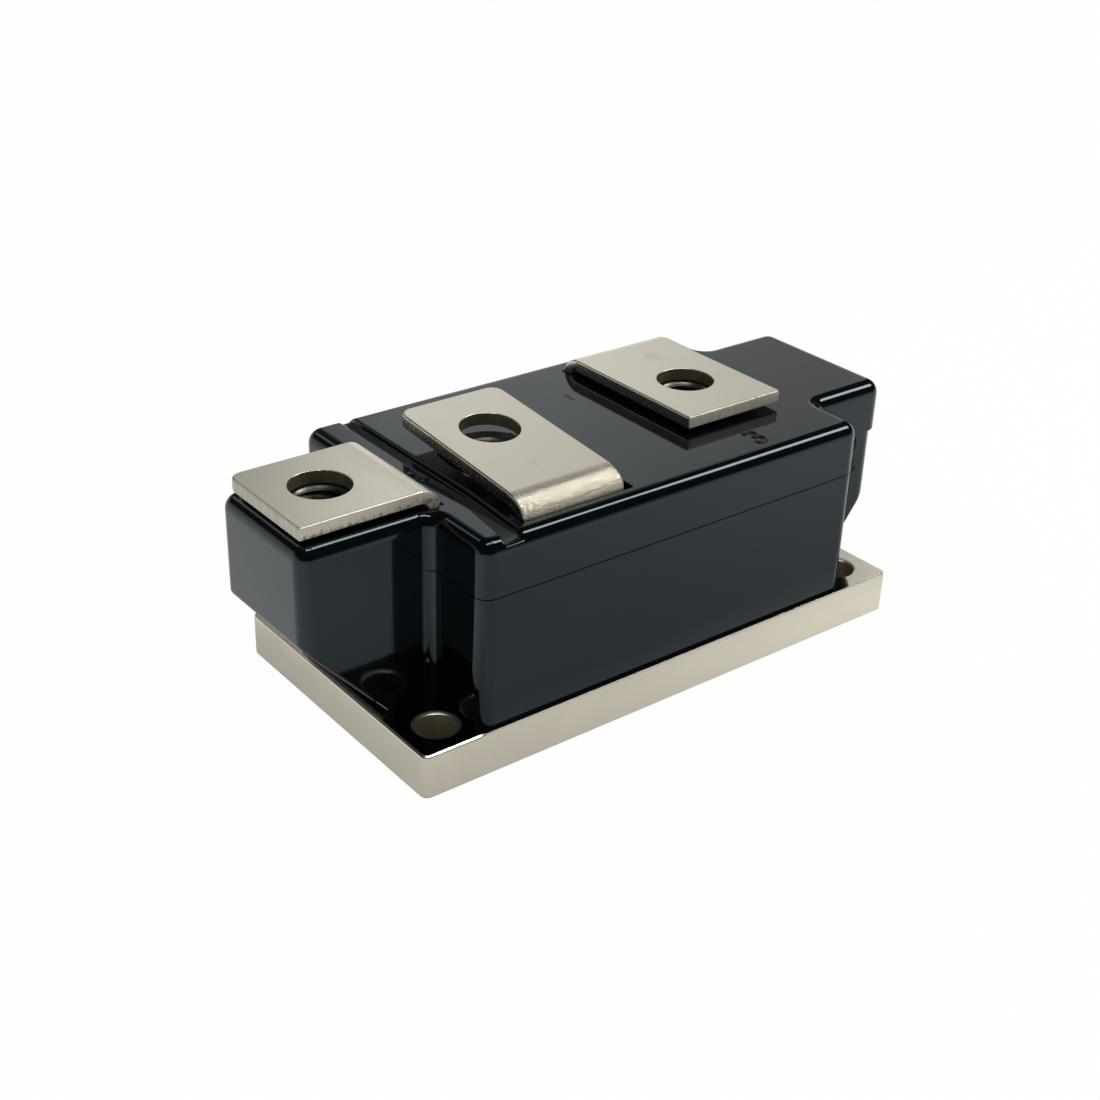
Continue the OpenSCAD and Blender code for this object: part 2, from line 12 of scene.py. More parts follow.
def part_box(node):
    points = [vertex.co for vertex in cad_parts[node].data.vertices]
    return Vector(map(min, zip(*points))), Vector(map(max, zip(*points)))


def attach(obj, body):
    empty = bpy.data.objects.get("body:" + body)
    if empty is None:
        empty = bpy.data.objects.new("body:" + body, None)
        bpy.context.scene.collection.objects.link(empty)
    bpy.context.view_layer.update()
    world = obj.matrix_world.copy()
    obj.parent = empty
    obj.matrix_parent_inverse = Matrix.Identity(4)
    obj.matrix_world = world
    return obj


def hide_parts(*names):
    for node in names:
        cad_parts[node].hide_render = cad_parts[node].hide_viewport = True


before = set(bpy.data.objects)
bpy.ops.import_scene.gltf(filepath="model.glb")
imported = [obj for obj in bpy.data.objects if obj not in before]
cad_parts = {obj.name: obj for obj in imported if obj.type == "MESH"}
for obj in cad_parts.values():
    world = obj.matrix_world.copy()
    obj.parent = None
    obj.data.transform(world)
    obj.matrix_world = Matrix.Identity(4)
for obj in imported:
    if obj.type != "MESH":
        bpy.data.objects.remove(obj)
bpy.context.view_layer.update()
scene = bpy.context.scene

# Sizes in millimetres: mostly the solids', with some roundings and the groove set by the photo
MM = 0.001


def box_mm(node):
    """Lowest and highest corner of a solid, in millimetres."""
    low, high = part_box(node)
    return low / MM, high / MM


BASE_HIGH = box_mm("base_plate")[1]
FRAME_LOW = box_mm("housing_frame")[0]
COVER_HIGH = box_mm("housing_cover")[1]
PLATE_T = BASE_HIGH.z
DECK_Z = COVER_HIGH.z
SEAM_Z = 27.7
BODY_X = 36.0
BODY_Y = COVER_HIGH.y
WALL = 2.5
CAVITY_X = BODY_X - WALL
CAVITY_Y = BODY_Y - WALL
DECK_T = 2.5
CORNER_R = 2.4
INNER_R = 1.9
TOP_R = 2.3
COVER_STEP = 0.4
COVER_END = BODY_X + 0.4
BLOCK_1_X = -FRAME_LOW.x
BLOCK_1_Y = 11.2
BLOCK_1_LIP = 14.0
BLOCK_2_X = COVER_HIGH.x
BLOCK_2_Y = 13.5
BLOCK_2_LIP = 10.0
BLOCK_FOOT = 43.7
PLATE_CORNER_R = 1.25
PLATE_ROLL_L = 0.22
PLATE_ROLL_R = 0.3
PLATE_ROLL = math.radians(31)
PLATE_STEEP = 0.25  # share of the roll's width along the housing and at the front right
PLATE_CHANGE = 0.4  # half of the length over which that share changes
PLATE_LOW_R = 0.3
HOLE_X = 40.0
HOLE_Y = 18.0
HOLE_R = 3.0
HOLE_CHAMFER = 0.3
HOLE_ROLL = 0.55

GROOVE_DEPTH = 1.2
GROOVE_RISE = 0.35
GROOVE_FRONT_X = (-32.0, -28.9)
GROOVE_BACK_X = (-30.2, -28.0)
GROOVE_SLANT_Y = (1.2 - BODY_Y, 14.0 - BODY_Y)
LIP_R = 0.4
LIP_Y = BODY_Y - 0.52  # where the rounding of the floor's ends starts

BAR_T = 2.0
BEND_R = 1.2
BEND_OUT = BEND_R + BAR_T
BEND_MIDDLE = BEND_R + BAR_T / 2
BAR_GAP = 0.8
BAR_TOP = DECK_Z + BAR_GAP + BAR_T
BAR_HOLE_R = 4.5
BAR_CORNER_R = 2.0
BAR_END_R = 0.4
BAR_FOOT_R = 0.3
LEG_ROOM = 0.3
LEG_SIDE_ROOM = 0.25
SLOT_KEY = 1.2
SLOT_BACK = 0.4
T1_X = -46.7
T1_W = 19.5
T1_TIP = 9.0
T1_FACE = -33.4
T1_FOOT = 5.2
T2_X = -18.2
T2_W = 17.8
T2_TIP = 10.7
T2_LEG = 20.2
T2_FOOT = 27.5
T2_RISE = math.radians(4.5)
T2_SOFT = math.radians(33)  # angle at which the soft bend turns into the tight one
T2_SOFT_R = 5.5
T2_TIGHT_R = 1.3
T3_X = 19.9
T3_W = 19.0
T3_TIP = 11.6
T3_LEG = 18.8
T3_FOOT = 6.0
GATE_HOLE_R = 2.5

NUT_AF = 13.0
NUT_H = 6.5
NUT_ROOM = 0.15
NUT_STAND = 0.65
NUT_TOP = DECK_Z + NUT_STAND
NUT_FACE = 0.98  # width of the nut's flat face, as a share of its width across flats
THREAD_R = 3.4
THREAD_DEPTH = 0.55
THREAD_PITCH = 1.25
THREAD_STEPS = 10  # levels for each turn of the thread
SINK = 0.15  # how much larger the sunk mouth's radius is than the thread's
WELL_R = 4.3
WELL_H = 3.0
BOSS_WALL = 1.6
BOSS_FLOOR = 1.2

TAB_W = 2.8
TAB_T = 0.8
TAB_ROOM = 0.06
TAB_HOLE_R = 0.6
TAB_Y = (4.4, 9.0)
POCKET_Y = sum(TAB_Y) / 2
POCKET_W = 9.0
POCKET_L = 7.0
POCKET_H = 5.1
POCKET_R = 0.5

# Rounding that the eye sees but no fit depends on
RIM_R = 0.3
SLOT_RIM_R = 0.14
SLOT_CORNER_R = 0.4
GROOVE_RIM_R = 0.45
FLOOR_R = 0.35
SLOPE_EDGE_R = 0.45
BAR_RIM_R = 0.3
BORE_RIM_R = 0.12
BEND_FADE = 2.7  # how far the pits of a bend run out beside it
SEAM_DEPTH = 0.3
SEAM_HALF = 0.085
SEAM_OUT = 0.3  # how far the groove's cutter starts outside the wall
SEAM_FADE = 1.2  # length over which the groove fades out
SEAM_END = 1.6  # distance past the cover's end where the fade ends
SEAM_LEAST = 0.2  # share of the cutter's reach that is left there

# Fineness of the meshes
ARC_STEPS = 12
FILLET_STEPS = 10
RIM_STEPS = 5
BEND_STEPS = 14
ROUND_STEPS = 96
NUT_STEPS = 96
SLOT_STEPS = 6
BLANK_STEPS = 8
OVER = 1.0  # how far cutters reach past what they cut
TOUCH = 0.01  # distance that counts as touching
WELD = 1e-4  # distance within which points are joined
LEAST_R = 0.02  # least radius of a blank's corner
LEAST_H = 0.05  # least height of the deck groove's section
SHARP = math.radians(32)  # angle from which an edge stays sharp
CROSSING = math.radians(75)  # angle at which a round mouth leaves its arc
LIP_TURN = math.pi / 4

# Which face is what, by the upright part of its normal
SLANT = (-0.95, -0.3)  # between these it is a slanted underside
PLATE_LEVEL = 0.97  # above it a face of the plate is level
PLATE_WALL = 0.5  # below it a face at the plate's holes is their wall
BLANK_FLAT = 0.75  # above it a face of a blank is its top or underside
BLANK_WALL = 0.35  # below it a face at a blank's holes is their wall


# Mesh helpers

def spread(start, end, steps):
    """Evenly spaced values from start to end, both included."""
    return [start + (end - start) * i / steps for i in range(steps + 1)]


def arc(cx, cy, r, a0, a1, steps=ARC_STEPS):
    """Points of an arc from angle a0 to a1, in degrees."""
    angles = [math.radians(a) for a in spread(a0, a1, steps)]
    return [(cx + r * math.cos(a), cy + r * math.sin(a)) for a in angles]


def rounded_rect(x0, x1, y0, y1, r, steps=ARC_STEPS):
    """Rectangle with round corners, anticlockwise; r is one radius or four, from (x1, y1) to (x1, y0)."""
    r = [r] * 4 if isinstance(r, (int, float)) else r
    return (arc(x1 - r[0], y1 - r[0], r[0], 0, 90, steps)
            + arc(x0 + r[1], y1 - r[1], r[1], 90, 180, steps)
            + arc(x0 + r[2], y0 + r[2], r[2], 180, 270, steps)
            + arc(x1 - r[3], y0 + r[3], r[3], 270, 360, steps))


def skin(bm, rows):
    """Faces from each closed row of points to the next row."""
    count = len(rows[0])
    for low, high in zip(rows, rows[1:]):
        for i in range(count):
            j = (i + 1) % count
            bm.faces.new((low[i], low[j], high[j], high[i]))


def loft(rings):
    """Closed solid through rings of as many points each, listed from the low end to the high end."""
    bm = bmesh.new()
    rows = [[bm.verts.new(p) for p in ring] for ring in rings]
    skin(bm, rows)
    bm.faces.new(rows[0][::-1])
    bm.faces.new(rows[-1])
    bmesh.ops.recalc_face_normals(bm, faces=bm.faces)
    return bm


def loop_solid(rings):
    """Closed solid through rings of as many points each, where the last one joins the first."""
    bm = bmesh.new()
    rows = [[bm.verts.new(p) for p in ring] for ring in rings]
    skin(bm, rows + rows[:1])
    bmesh.ops.recalc_face_normals(bm, faces=bm.faces)
    return bm


def box(x0, x1, y0, y1, z0, z1):
    """Plain cutter."""
    flat = [(x0, y0), (x1, y0), (x1, y1), (x0, y1)]
    return loft([[(x, y, z) for x, y in flat] for z in (z0, z1)])


def lathe(profile, x, y, steps=ROUND_STEPS):
    """Closed solid of revolution about an upright line, from (radius, height) points listed upwards."""
    return loft([[(px + x, py + y, z) for px, py in arc(0, 0, r, 0, 360 - 360 / steps, steps - 1)]
                 for r, z in profile])


def flare(rim_r, top):
    """(growth, height) pairs of a round mouth that crosses the face at height top at a small angle."""
    turns = spread(0, CROSSING, RIM_STEPS)
    pairs = [(rim_r * (1 - math.cos(a)), top - rim_r + rim_r * math.sin(a)) for a in turns]
    grow, height = pairs[-1]
    rise = top - height + rim_r / 2
    return pairs + [(grow + rise * math.tan(CROSSING), height + rise)]


def pocket_levels(floor, top, rim_r, floor_r):
    """(growth, height) pairs of a pocket with a round floor edge and a round mouth."""
    turns = spread(0, math.pi / 2, RIM_STEPS)[:-1]
    low = [(floor_r * (math.sin(a) - 1), floor + floor_r * (1 - math.cos(a))) for a in turns]
    return low + [(0.0, floor + floor_r)] + flare(rim_r, top)


def pocket(x0, x1, y0, y1, levels, r):
    """Cutter for a rectangular pocket or slot that opens upwards."""
    return loft([[(x, y, z) for x, y in rounded_rect(x0 - g, x1 + g, y0 - g, y1 + g, r + g, SLOT_STEPS)]
                 for g, z in levels])


def to_object(bm, name):
    """Object from a mesh, with its sizes as they are."""
    mesh = bpy.data.meshes.new(name)
    bm.to_mesh(mesh)
    bm.free()
    obj = bpy.data.objects.new(name, mesh)
    scene.collection.objects.link(obj)
    return obj


def bake(obj):
    """Applies an object's modifiers."""
    evaluated = obj.evaluated_get(bpy.context.evaluated_depsgraph_get())
    mesh = bpy.data.meshes.new_from_object(evaluated)
    obj.modifiers.clear()
    old = obj.data
    obj.data = mesh
    bpy.data.meshes.remove(old)
    return obj


def combine(obj, others, operation="DIFFERENCE"):
    """Cuts other meshes out of an object, joins them to it or keeps what it shares with them."""
    for other in others:
        tool = to_object(other, "tool")
        cut = obj.modifiers.new("cut", "BOOLEAN")
        cut.operation = operation
        cut.solver = "EXACT"
        cut.object = tool
        bake(obj)
        mesh = tool.data
        bpy.data.objects.remove(tool)
        bpy.data.meshes.remove(mesh)
    return obj


def edit(obj, change):
    """Runs a function on an object's mesh."""
    bm = bmesh.new()
    bm.from_mesh(obj.data)
    change(bm)
    bm.to_mesh(obj.data)
    bm.free()
    return obj


def clean(bm):
    """Joins doubled points and takes out edges of no length."""
    bmesh.ops.remove_doubles(bm, verts=bm.verts, dist=WELD)
    bmesh.ops.dissolve_degenerate(bm, edges=bm.edges, dist=WELD)


def smooth(bm):
    """Smooth shading with creases at sharp angles."""
    for face in bm.faces:
        face.smooth = True
    for edge in bm.edges:
        edge.smooth = len(edge.link_faces) == 2 and edge.calc_face_angle(math.pi) < SHARP


def finish_piece(obj, materials, slot, *nodes):
    """Turns a piece to metres, shades it and hides the solids that it stands for."""
    edit(obj, smooth)
    indices = [polygon.material_index for polygon in obj.data.polygons]
    obj.data.transform(Matrix.Scale(MM, 4))
    obj.data.materials.clear()
    for material in materials:
        obj.data.materials.append(material)
    normals = obj.modifiers.new("normals", "WEIGHTED_NORMAL")
    normals.keep_sharp = True
    normals.weight = 100
    bake(obj)
    obj.data.polygons.foreach_set("material_index", indices)
    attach(obj, "root")
    if nodes:
        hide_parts(*nodes)
    return obj


# Materials

def new_material(name):
    """Material with its node tree and its shader."""
    material = bpy.data.materials.new(name)
    material.use_nodes = True
    shader = material.node_tree.nodes["Principled BSDF"]
    return material, shader


def add_node(owner, kind, inputs=None, **settings):
    """Node in a material or a world, with some of its inputs and settings."""
    made = owner.node_tree.nodes.new(kind)
    for name, value in settings.items():
        setattr(made, name, value)
    for name, value in (inputs or {}).items():
        if isinstance(value, bpy.types.NodeSocket):
            owner.node_tree.links.new(value, made.inputs[name])
        else:
            made.inputs[name].default_value = value
    return made


def wire(material, socket, shader, name):
    """Feeds a socket into one of the shader's inputs."""
    material.node_tree.links.new(socket, shader.inputs[name])


def calculate(owner, operation, *values):
    """Output of a Math node on numbers and sockets."""
    return add_node(owner, "ShaderNodeMath", dict(enumerate(values)), operation=operation).outputs["Value"]


def place(material, scale=(1, 1, 1)):
    """Object coordinates, stretched."""
    coordinates = add_node(material, "ShaderNodeTexCoord")
    return add_node(material, "ShaderNodeMapping",
                    {"Vector": coordinates.outputs["Object"], "Scale": scale}).outputs["Vector"]


def noise(material, vector, scale, detail=3.0, roughness=0.5):
    return add_node(material, "ShaderNodeTexNoise", {"Vector": vector, "Scale": scale, "Detail": detail,
                                                     "Roughness": roughness}).outputs["Fac"]


def ramp(owner, factor, stops):
    """Colour ramp; stops are (position, colour or grey)."""
    made = add_node(owner, "ShaderNodeValToRGB", {"Fac": factor})
    elements = made.color_ramp.elements
    while len(elements) < len(stops):
        elements.new(0.5)
    for element, (position, colour) in zip(elements, stops):
        element.position = position
        element.color = (colour, colour, colour, 1) if isinstance(colour, (int, float)) else (*colour, 1)
    return made.outputs["Color"]


def span(material, factor, low, high, start=0.3, end=0.7):
    """A value between low and high, following a factor from start to end."""
    return add_node(material, "ShaderNodeMapRange", {"Value": factor, "From Min": start, "From Max": end,
                                                     "To Min": low, "To Max": high}).outputs["Result"]


def bump(material, height, distance, strength=1.0, normal=None):
    inputs = {"Height": height, "Distance": distance, "Strength": strength}
    if normal is not None:
        inputs["Normal"] = normal
    return add_node(material, "ShaderNodeBump", inputs).outputs["Normal"]


def gloss_plastic():
    """Black moulding with a high gloss, faint flow marks and a fine orange peel."""
    material, shader = new_material("gloss_black_moulding")
    where = place(material)
    flow = noise(material, place(material, (1, 1, 0.25)), 90, 4)
    peel = noise(material, where, 700, 2)
    specks = noise(material, where, 2600, 1)
    stops = [(0.3, (0.0012, 0.0019, 0.0027)), (0.7, (0.002, 0.0031, 0.0043))]
    wire(material, ramp(material, flow, stops), shader, "Base Color")
    wire(material, span(material, flow, 0.045, 0.08), shader, "Roughness")
    rough = bump(material, peel, 0.000012, 0.25)
    wire(material, bump(material, specks, 0.000004, 0.3, rough), shader, "Normal")
    shader.inputs["IOR"].default_value = 1.48
    shader.inputs["Specular Tint"].default_value = (0.69, 0.91, 1.0, 1)
    return material


def nickel(name, pale, dark, rough, grain, stretch=(1, 1, 1), bent=False):
    """Nickel plate: fine grain, clouds of tone and roughness, and pits and wear at the bends if bent."""
    material, shader = new_material(name)
    clouds = noise(material, place(material), 120, 4)
    fine = noise(material, place(material, stretch), 4200, 2)
    tone = clouds
    shine = span(material, clouds, *rough)
    relief = bump(material, fine, 0.00001, grain)
    if bent:
        bend = add_node(material, "ShaderNodeAttribute", attribute_name="bend").outputs["Fac"]
        pits = noise(material, place(material), 3800, 3, 0.6)
        worn = calculate(material, "MULTIPLY", span(material, pits, 0.45, 0, 0.38, 0.5), bend)
        tone = calculate(material, "SUBTRACT", clouds, worn)
        shine = calculate(material, "MULTIPLY_ADD", bend, -0.03, shine)
        relief = bump(material, calculate(material, "MULTIPLY", pits, bend), 0.0002, 0.8, relief)
        wire(material, span(material, bend, 1, 0.75, 0, 1), shader, "Metallic")
    else:
        shader.inputs["Metallic"].default_value = 1
    stops = [(0.0, tuple(0.45 * c for c in dark)), (0.3, dark), (0.7, pale)]
    wire(material, ramp(material, tone, stops), shader, "Base Color")
    wire(material, shine, shader, "Roughness")
    wire(material, relief, shader, "Normal")
    return material


def rolled_edge():
    """Plated long side of a bar: smooth, with torn specks."""
    material, shader = new_material("rolled_edge_nickel")
    pulled = noise(material, place(material, (1, 1, 0.5)), 2600, 3, 0.65)
    specks = noise(material, place(material, (1, 1, 0.7)), 2900, 3, 0.6)
    stops = [(0.36, (0.48, 0.445, 0.37)), (0.48, (0.60, 0.56, 0.48)), (0.62, (0.65, 0.61, 0.53))]
    wire(material, ramp(material, specks, stops), shader, "Base Color")
    wire(material, span(material, specks, 0.3, 0.2), shader, "Roughness")
    wire(material, bump(material, pulled, 0.000015, 0.25), shader, "Normal")
    shader.inputs["Metallic"].default_value = 1
    return material


def sheared_end():
    """Plated end of a bar: dull, with a grain pulled up and down by the shear."""
    material, shader = new_material("sheared_end_nickel")
    pulled = noise(material, place(material, (1, 1, 0.12)), 2400, 3, 0.6)
    tone = noise(material, place(material, (1, 1, 0.25)), 1600, 3, 0.55)
    stops = [(0.35, (0.46, 0.437, 0.36)), (0.65, (0.56, 0.53, 0.447))]
    wire(material, ramp(material, tone, stops), shader, "Base Color")
    wire(material, span(material, tone, 0.5, 0.38), shader, "Roughness")
    wire(material, bump(material, pulled, 0.00004, 0.32), shader, "Normal")
    shader.inputs["Metallic"].default_value = 0.3
    return material


def torn_edge():
    """Plated long side that faces the light: paler towards the top as a painted highlight, with torn dark
    specks below.
    """
    material, shader = new_material("torn_edge_nickel")
    specks = noise(material, place(material, (1, 1, 0.8)), 2400, 4, 0.65)
    parts = add_node(material, "ShaderNodeSeparateXYZ", {"Vector": place(material)})
    # Painted highlight: the side is lightened towards the bar's top edge
    upper = span(material, parts.outputs["Z"], 0.0, 0.22, (BAR_TOP - 1.7) * MM, (BAR_TOP - 0.7) * MM)
    tone = calculate(material, "ADD", specks, upper)
    stops = [(0.4, (0.15, 0.135, 0.095)), (0.5, (0.42, 0.39, 0.31)), (0.62, (0.60, 0.565, 0.475))]
    wire(material, ramp(material, tone, stops), shader, "Base Color")
    wire(material, span(material, specks, 0.5, 0.36), shader, "Roughness")
    wire(material, bump(material, specks, 0.00005, 0.4), shader, "Normal")
    shader.inputs["Metallic"].default_value = 0.45
    return material


def clouded(name, pale, dark, rough, scales, distance, strength):
    """Material with clouds of tone and roughness and a fine grain, and its shader."""
    material, shader = new_material(name)
    clouds = noise(material, place(material), scales[0], 4)
    fine = noise(material, place(material), scales[1], 2)
    wire(material, ramp(material, clouds, [(0.3, dark), (0.7, pale)]), shader, "Base Color")
    wire(material, span(material, clouds, *rough), shader, "Roughness")
    wire(material, bump(material, fine, distance, strength), shader, "Normal")
    return material, shader


def plain_metal(name, pale, dark, rough, scale=300, metallic=1.0):
    """Copper, steel, tin or molybdenum, or a dull bored wall darkened with painted shade."""
    material, shader = clouded(name, pale, dark, rough, (scale, scale * 12), 0.000015, 0.3)
    shader.inputs["Metallic"].default_value = metallic
    return material


def plain_solid(name, pale, dark, rough, ior=1.5):
    """Ceramic, silicon, insulation, or steel painted near-black as shade."""
    material, shader = clouded(name, pale, dark, rough, (400, 4000), 0.00001, 0.25)
    shader.inputs["IOR"].default_value = ior
    return material


PLASTIC = gloss_plastic()
BAR_FACE = nickel("satin_nickel", (0.80, 0.76, 0.63), (0.76, 0.72, 0.595), (0.23, 0.28), 0.1, bent=True)
BAR_SIDE = rolled_edge()
BAR_END = sheared_end()
BAR_TORN = torn_edge()
PLATE_SIDE = nickel("plate_side_nickel", (0.87, 0.815, 0.67), (0.83, 0.775, 0.635), (0.28, 0.36), 0.3,
                    (0.2, 0.2, 1))
PLATE_TOP = nickel("plate_top_nickel", (0.70, 0.67, 0.56), (0.66, 0.63, 0.52), (0.05, 0.09), 0.05)
# Bored walls: dull metal whose colour is darkened as painted shade for the dim inside of the holes
PLATE_BORE = plain_metal("plate_bore_painted_shade", (0.36, 0.33, 0.21), (0.26, 0.24, 0.15), (0.3, 0.45), metallic=0.4)
HOLE_WALL = plain_metal("bored_wall_painted_shade", (0.19, 0.175, 0.105), (0.10, 0.09, 0.055), (0.3, 0.45), metallic=0.4)
# Nut colours are painted: near-black steel and a dark thread as shade in the nut's well, a lighter
# countersink as a highlight ring
NUT_STEEL = plain_solid("nut_steel_painted_shade", (0.02, 0.019, 0.017), (0.012, 0.011, 0.01), (0.45, 0.6), ior=1.15)
NUT_RING = plain_metal("countersink_painted_highlight", (0.24, 0.23, 0.20), (0.18, 0.17, 0.15), (0.3, 0.4))
THREAD = plain_metal("thread_painted_shade", (0.10, 0.095, 0.085), (0.06, 0.057, 0.05), (0.35, 0.5), 900)
TIN = plain_metal("tinned_brass", (0.80, 0.79, 0.76), (0.70, 0.69, 0.66), (0.25, 0.38))
COPPER = plain_metal("bright_copper", (0.80, 0.50, 0.36), (0.66, 0.38, 0.26), (0.2, 0.35))
MOLYBDENUM = plain_metal("ground_molybdenum", (0.55, 0.56, 0.58), (0.45, 0.46, 0.48), (0.3, 0.42))
CERAMIC = plain_solid("matt_ceramic", (0.90, 0.89, 0.86), (0.82, 0.81, 0.78), (0.5, 0.65))
SILICON = plain_solid("polished_silicon", (0.10, 0.11, 0.14), (0.07, 0.08, 0.10), (0.08, 0.16))
INSULATION = plain_solid("red_insulation", (0.50, 0.06, 0.05), (0.38, 0.04, 0.035), (0.35, 0.5))


# Housing

def outline(inset, step=0.0):
    """Outline of the housing drawn in by inset, with the second block drawn in by step more."""
    convex = CORNER_R - inset
    concave = INNER_R + inset
    end_2 = BLOCK_2_X - step
    side_2 = BLOCK_2_Y - step
    half = (arc(end_2 - CORNER_R, side_2 - CORNER_R, convex, 0, 90)
            + arc(BODY_X + INNER_R, side_2 + INNER_R, concave, -90, -180)
            + arc(BODY_X - CORNER_R, BODY_Y - CORNER_R, convex, 0, 90)
            + arc(CORNER_R - BODY_X, BODY_Y - CORNER_R, convex, 90, 180)
            + arc(-BODY_X - INNER_R, BLOCK_1_Y + INNER_R, concave, 0, -90)
            + arc(CORNER_R - BLOCK_1_X, BLOCK_1_Y - CORNER_R, convex, 90, 180))
    return half + [(x, -y) for x, y in reversed(half)]


def housing_form(step):
    """The whole housing as one filled form with rounded upper edges."""
    turns = spread(0, math.pi / 2, FILLET_STEPS)
    fillet = [(TOP_R * (1 - math.cos(a)), DECK_Z - TOP_R + TOP_R * math.sin(a)) for a in turns]
    levels = [(0.0, PLATE_T)] + fillet
    return loft([[(x, y, z) for x, y in outline(inset, step)] for inset, z in levels])


def above_seam():
    """Space that the cover takes up."""
    return box(-COVER_END, BLOCK_2_X + OVER, -BASE_HIGH.y, BASE_HIGH.y, SEAM_Z, DECK_Z + OVER)


def slope(side, reach, lip):
    """Space under a terminal block's slanted underside; side is -1 or 1."""
    grow = 1 + OVER / (reach - BLOCK_FOOT)
    end = reach + OVER
    profile = [(BLOCK_FOOT, PLATE_T), (end, PLATE_T + lip * grow), (end, PLATE_T - OVER),
               (BLOCK_FOOT, PLATE_T - OVER)]
    return loft([[(side * x, y, z) for x, z in profile] for y in (-BASE_HIGH.y, BASE_HIGH.y)])


def hexagon(r):
    """Corners of a hexagon with flats towards +X and -X."""
    return arc(0, 0, r, 30, 330, 5)


def nut_spaces(x):
    """Hexagonal pocket with a round mouth, and the well below it."""
    corner = 1 / math.cos(math.radians(30))
    levels = [(0.0, NUT_TOP - NUT_H)] + flare(RIM_R, DECK_Z)
    hex_pocket = loft([[(x + px, py, z) for px, py in hexagon((NUT_AF / 2 + NUT_ROOM + g) * corner)]
                       for g, z in levels])
    well = lathe([(WELL_R, NUT_TOP - NUT_H - WELL_H), (WELL_R, NUT_TOP - NUT_H + OVER)], x, 0)
    return [hex_pocket, well]


def tab_pockets(step):
    """Pockets round the control tabs, open at the second block's end."""
    levels = pocket_levels(BLOCK_2_X - POCKET_L, BLOCK_2_X - step, RIM_R, FLOOR_R)
    cutters = []
    for side in (-1, 1):
        y = side * POCKET_Y
        made = pocket(y - POCKET_W / 2, y + POCKET_W / 2, SEAM_Z - POCKET_H, SEAM_Z + POCKET_H, levels,
                      POCKET_R)
        bmesh.ops.transform(made, matrix=Matrix(((0, 0, 1, 0), (1, 0, 0, 0), (0, 1, 0, 0), (0, 0, 0, 1))),
                            verts=made.verts)
        cutters.append(made)
    return cutters


def seam_groove(step):
    """Fine groove along the joint of the frame and the cover, fading out at the first block."""
    outer = outline(-SEAM_OUT, step)
    inner = outline(SEAM_DEPTH, step)
    half = SEAM_HALF * (1 + SEAM_OUT / SEAM_DEPTH)
    rings = []
    for (ox, oy), (ix, iy) in zip(outer, inner):
        share = min(1.0, max(SEAM_LEAST, (ox + COVER_END + SEAM_END) / SEAM_FADE))
        tip = (ox + (ix - ox) * share, oy + (iy - oy) * share, SEAM_Z)
        rings.append([(ox, oy, SEAM_Z - half), tip, (ox, oy, SEAM_Z + half)])
    return loop_solid(rings)


def edge_drop(y):
    """Depth of the housing's rounded upper edge at y, near the front or the back face."""
    into = abs(y) - (BODY_Y - TOP_R)
    if into <= 0:
        return 0.0
    limit = TOP_R * math.sin(CROSSING)
    if into <= limit:
        return TOP_R - math.sqrt(TOP_R ** 2 - into ** 2)
    return TOP_R * (1 - math.cos(CROSSING)) + (into - limit) * math.tan(CROSSING)


def lip_drop(y):
    """Depth of the small rounding at the ends of the groove's floor at y."""
    into = max(abs(y) - LIP_Y, 0.0)
    limit = LIP_R * math.sin(LIP_TURN)
    if into <= limit:
        return LIP_R - math.sqrt(LIP_R ** 2 - into ** 2)
    return LIP_R - LIP_R * math.cos(LIP_TURN) + into - limit


def groove_sides(y):
    """Left and right side of the groove in the deck at y."""
    front, back = GROOVE_SLANT_Y
    share = min(1.0, max(0.0, (y - front) / (back - front)))
    return [a + (b - a) * share for a, b in zip(GROOVE_FRONT_X, GROOVE_BACK_X)]


def deck_groove():
    """Cutter for the groove in the deck, its floor rising to the right, out through the rounded edges."""
    low = pocket_levels(-GROOVE_DEPTH, 0, GROOVE_RIM_R, FLOOR_R)
    high = pocket_levels(GROOVE_RISE - GROOVE_DEPTH, 0, GROOVE_RIM_R, FLOOR_R / 2)
    edge = [BODY_Y - TOP_R + TOP_R * math.sin(a) for a in spread(0, CROSSING, FILLET_STEPS)]
    edge += [LIP_Y + LIP_R * math.sin(a) for a in spread(0, LIP_TURN, RIM_STEPS)]
    ends = [-BODY_Y - OVER, BODY_Y + OVER]
    rings = []
    for y in sorted(ends + list(GROOVE_SLANT_Y) + [s * y for s in (-1, 1) for y in edge]):
        x0, x1 = groove_sides(y)
        section = [(x0 - g, z) for g, z in reversed(low)] + [(x1 + g, z) for g, z in high]
        floor = -GROOVE_DEPTH - lip_drop(y)
        squeeze = max(-edge_drop(y) - floor, LEAST_H) / GROOVE_DEPTH
        rings.append([(x, y, DECK_Z + floor + (z + GROOVE_DEPTH) * squeeze) for x, z in section])
    return loft(rings)


def round_slopes(bm):
    """Rounds the edges of the slanted undersides."""
    edges = []
    for edge in bm.edges:
        if len(edge.link_faces) != 2:
            continue
        slanted = [f for f in edge.link_faces
                   if SLANT[0] < f.normal.z < SLANT[1] and abs(f.normal.y) < 0.05]
        heights = [v.co.z for v in edge.verts]
        high = min(heights) > PLATE_T - TOUCH and max(heights) > PLATE_T + TOUCH
        outer = max(abs(v.co.x) for v in edge.verts) > BLOCK_FOOT
        if len(slanted) == 1 and high and outer:
            edges.append(edge)
    bmesh.ops.bevel(bm, geom=edges, offset=SLOPE_EDGE_R, segments=4, profile=0.5, affect="EDGES",
                    clamp_overlap=True)


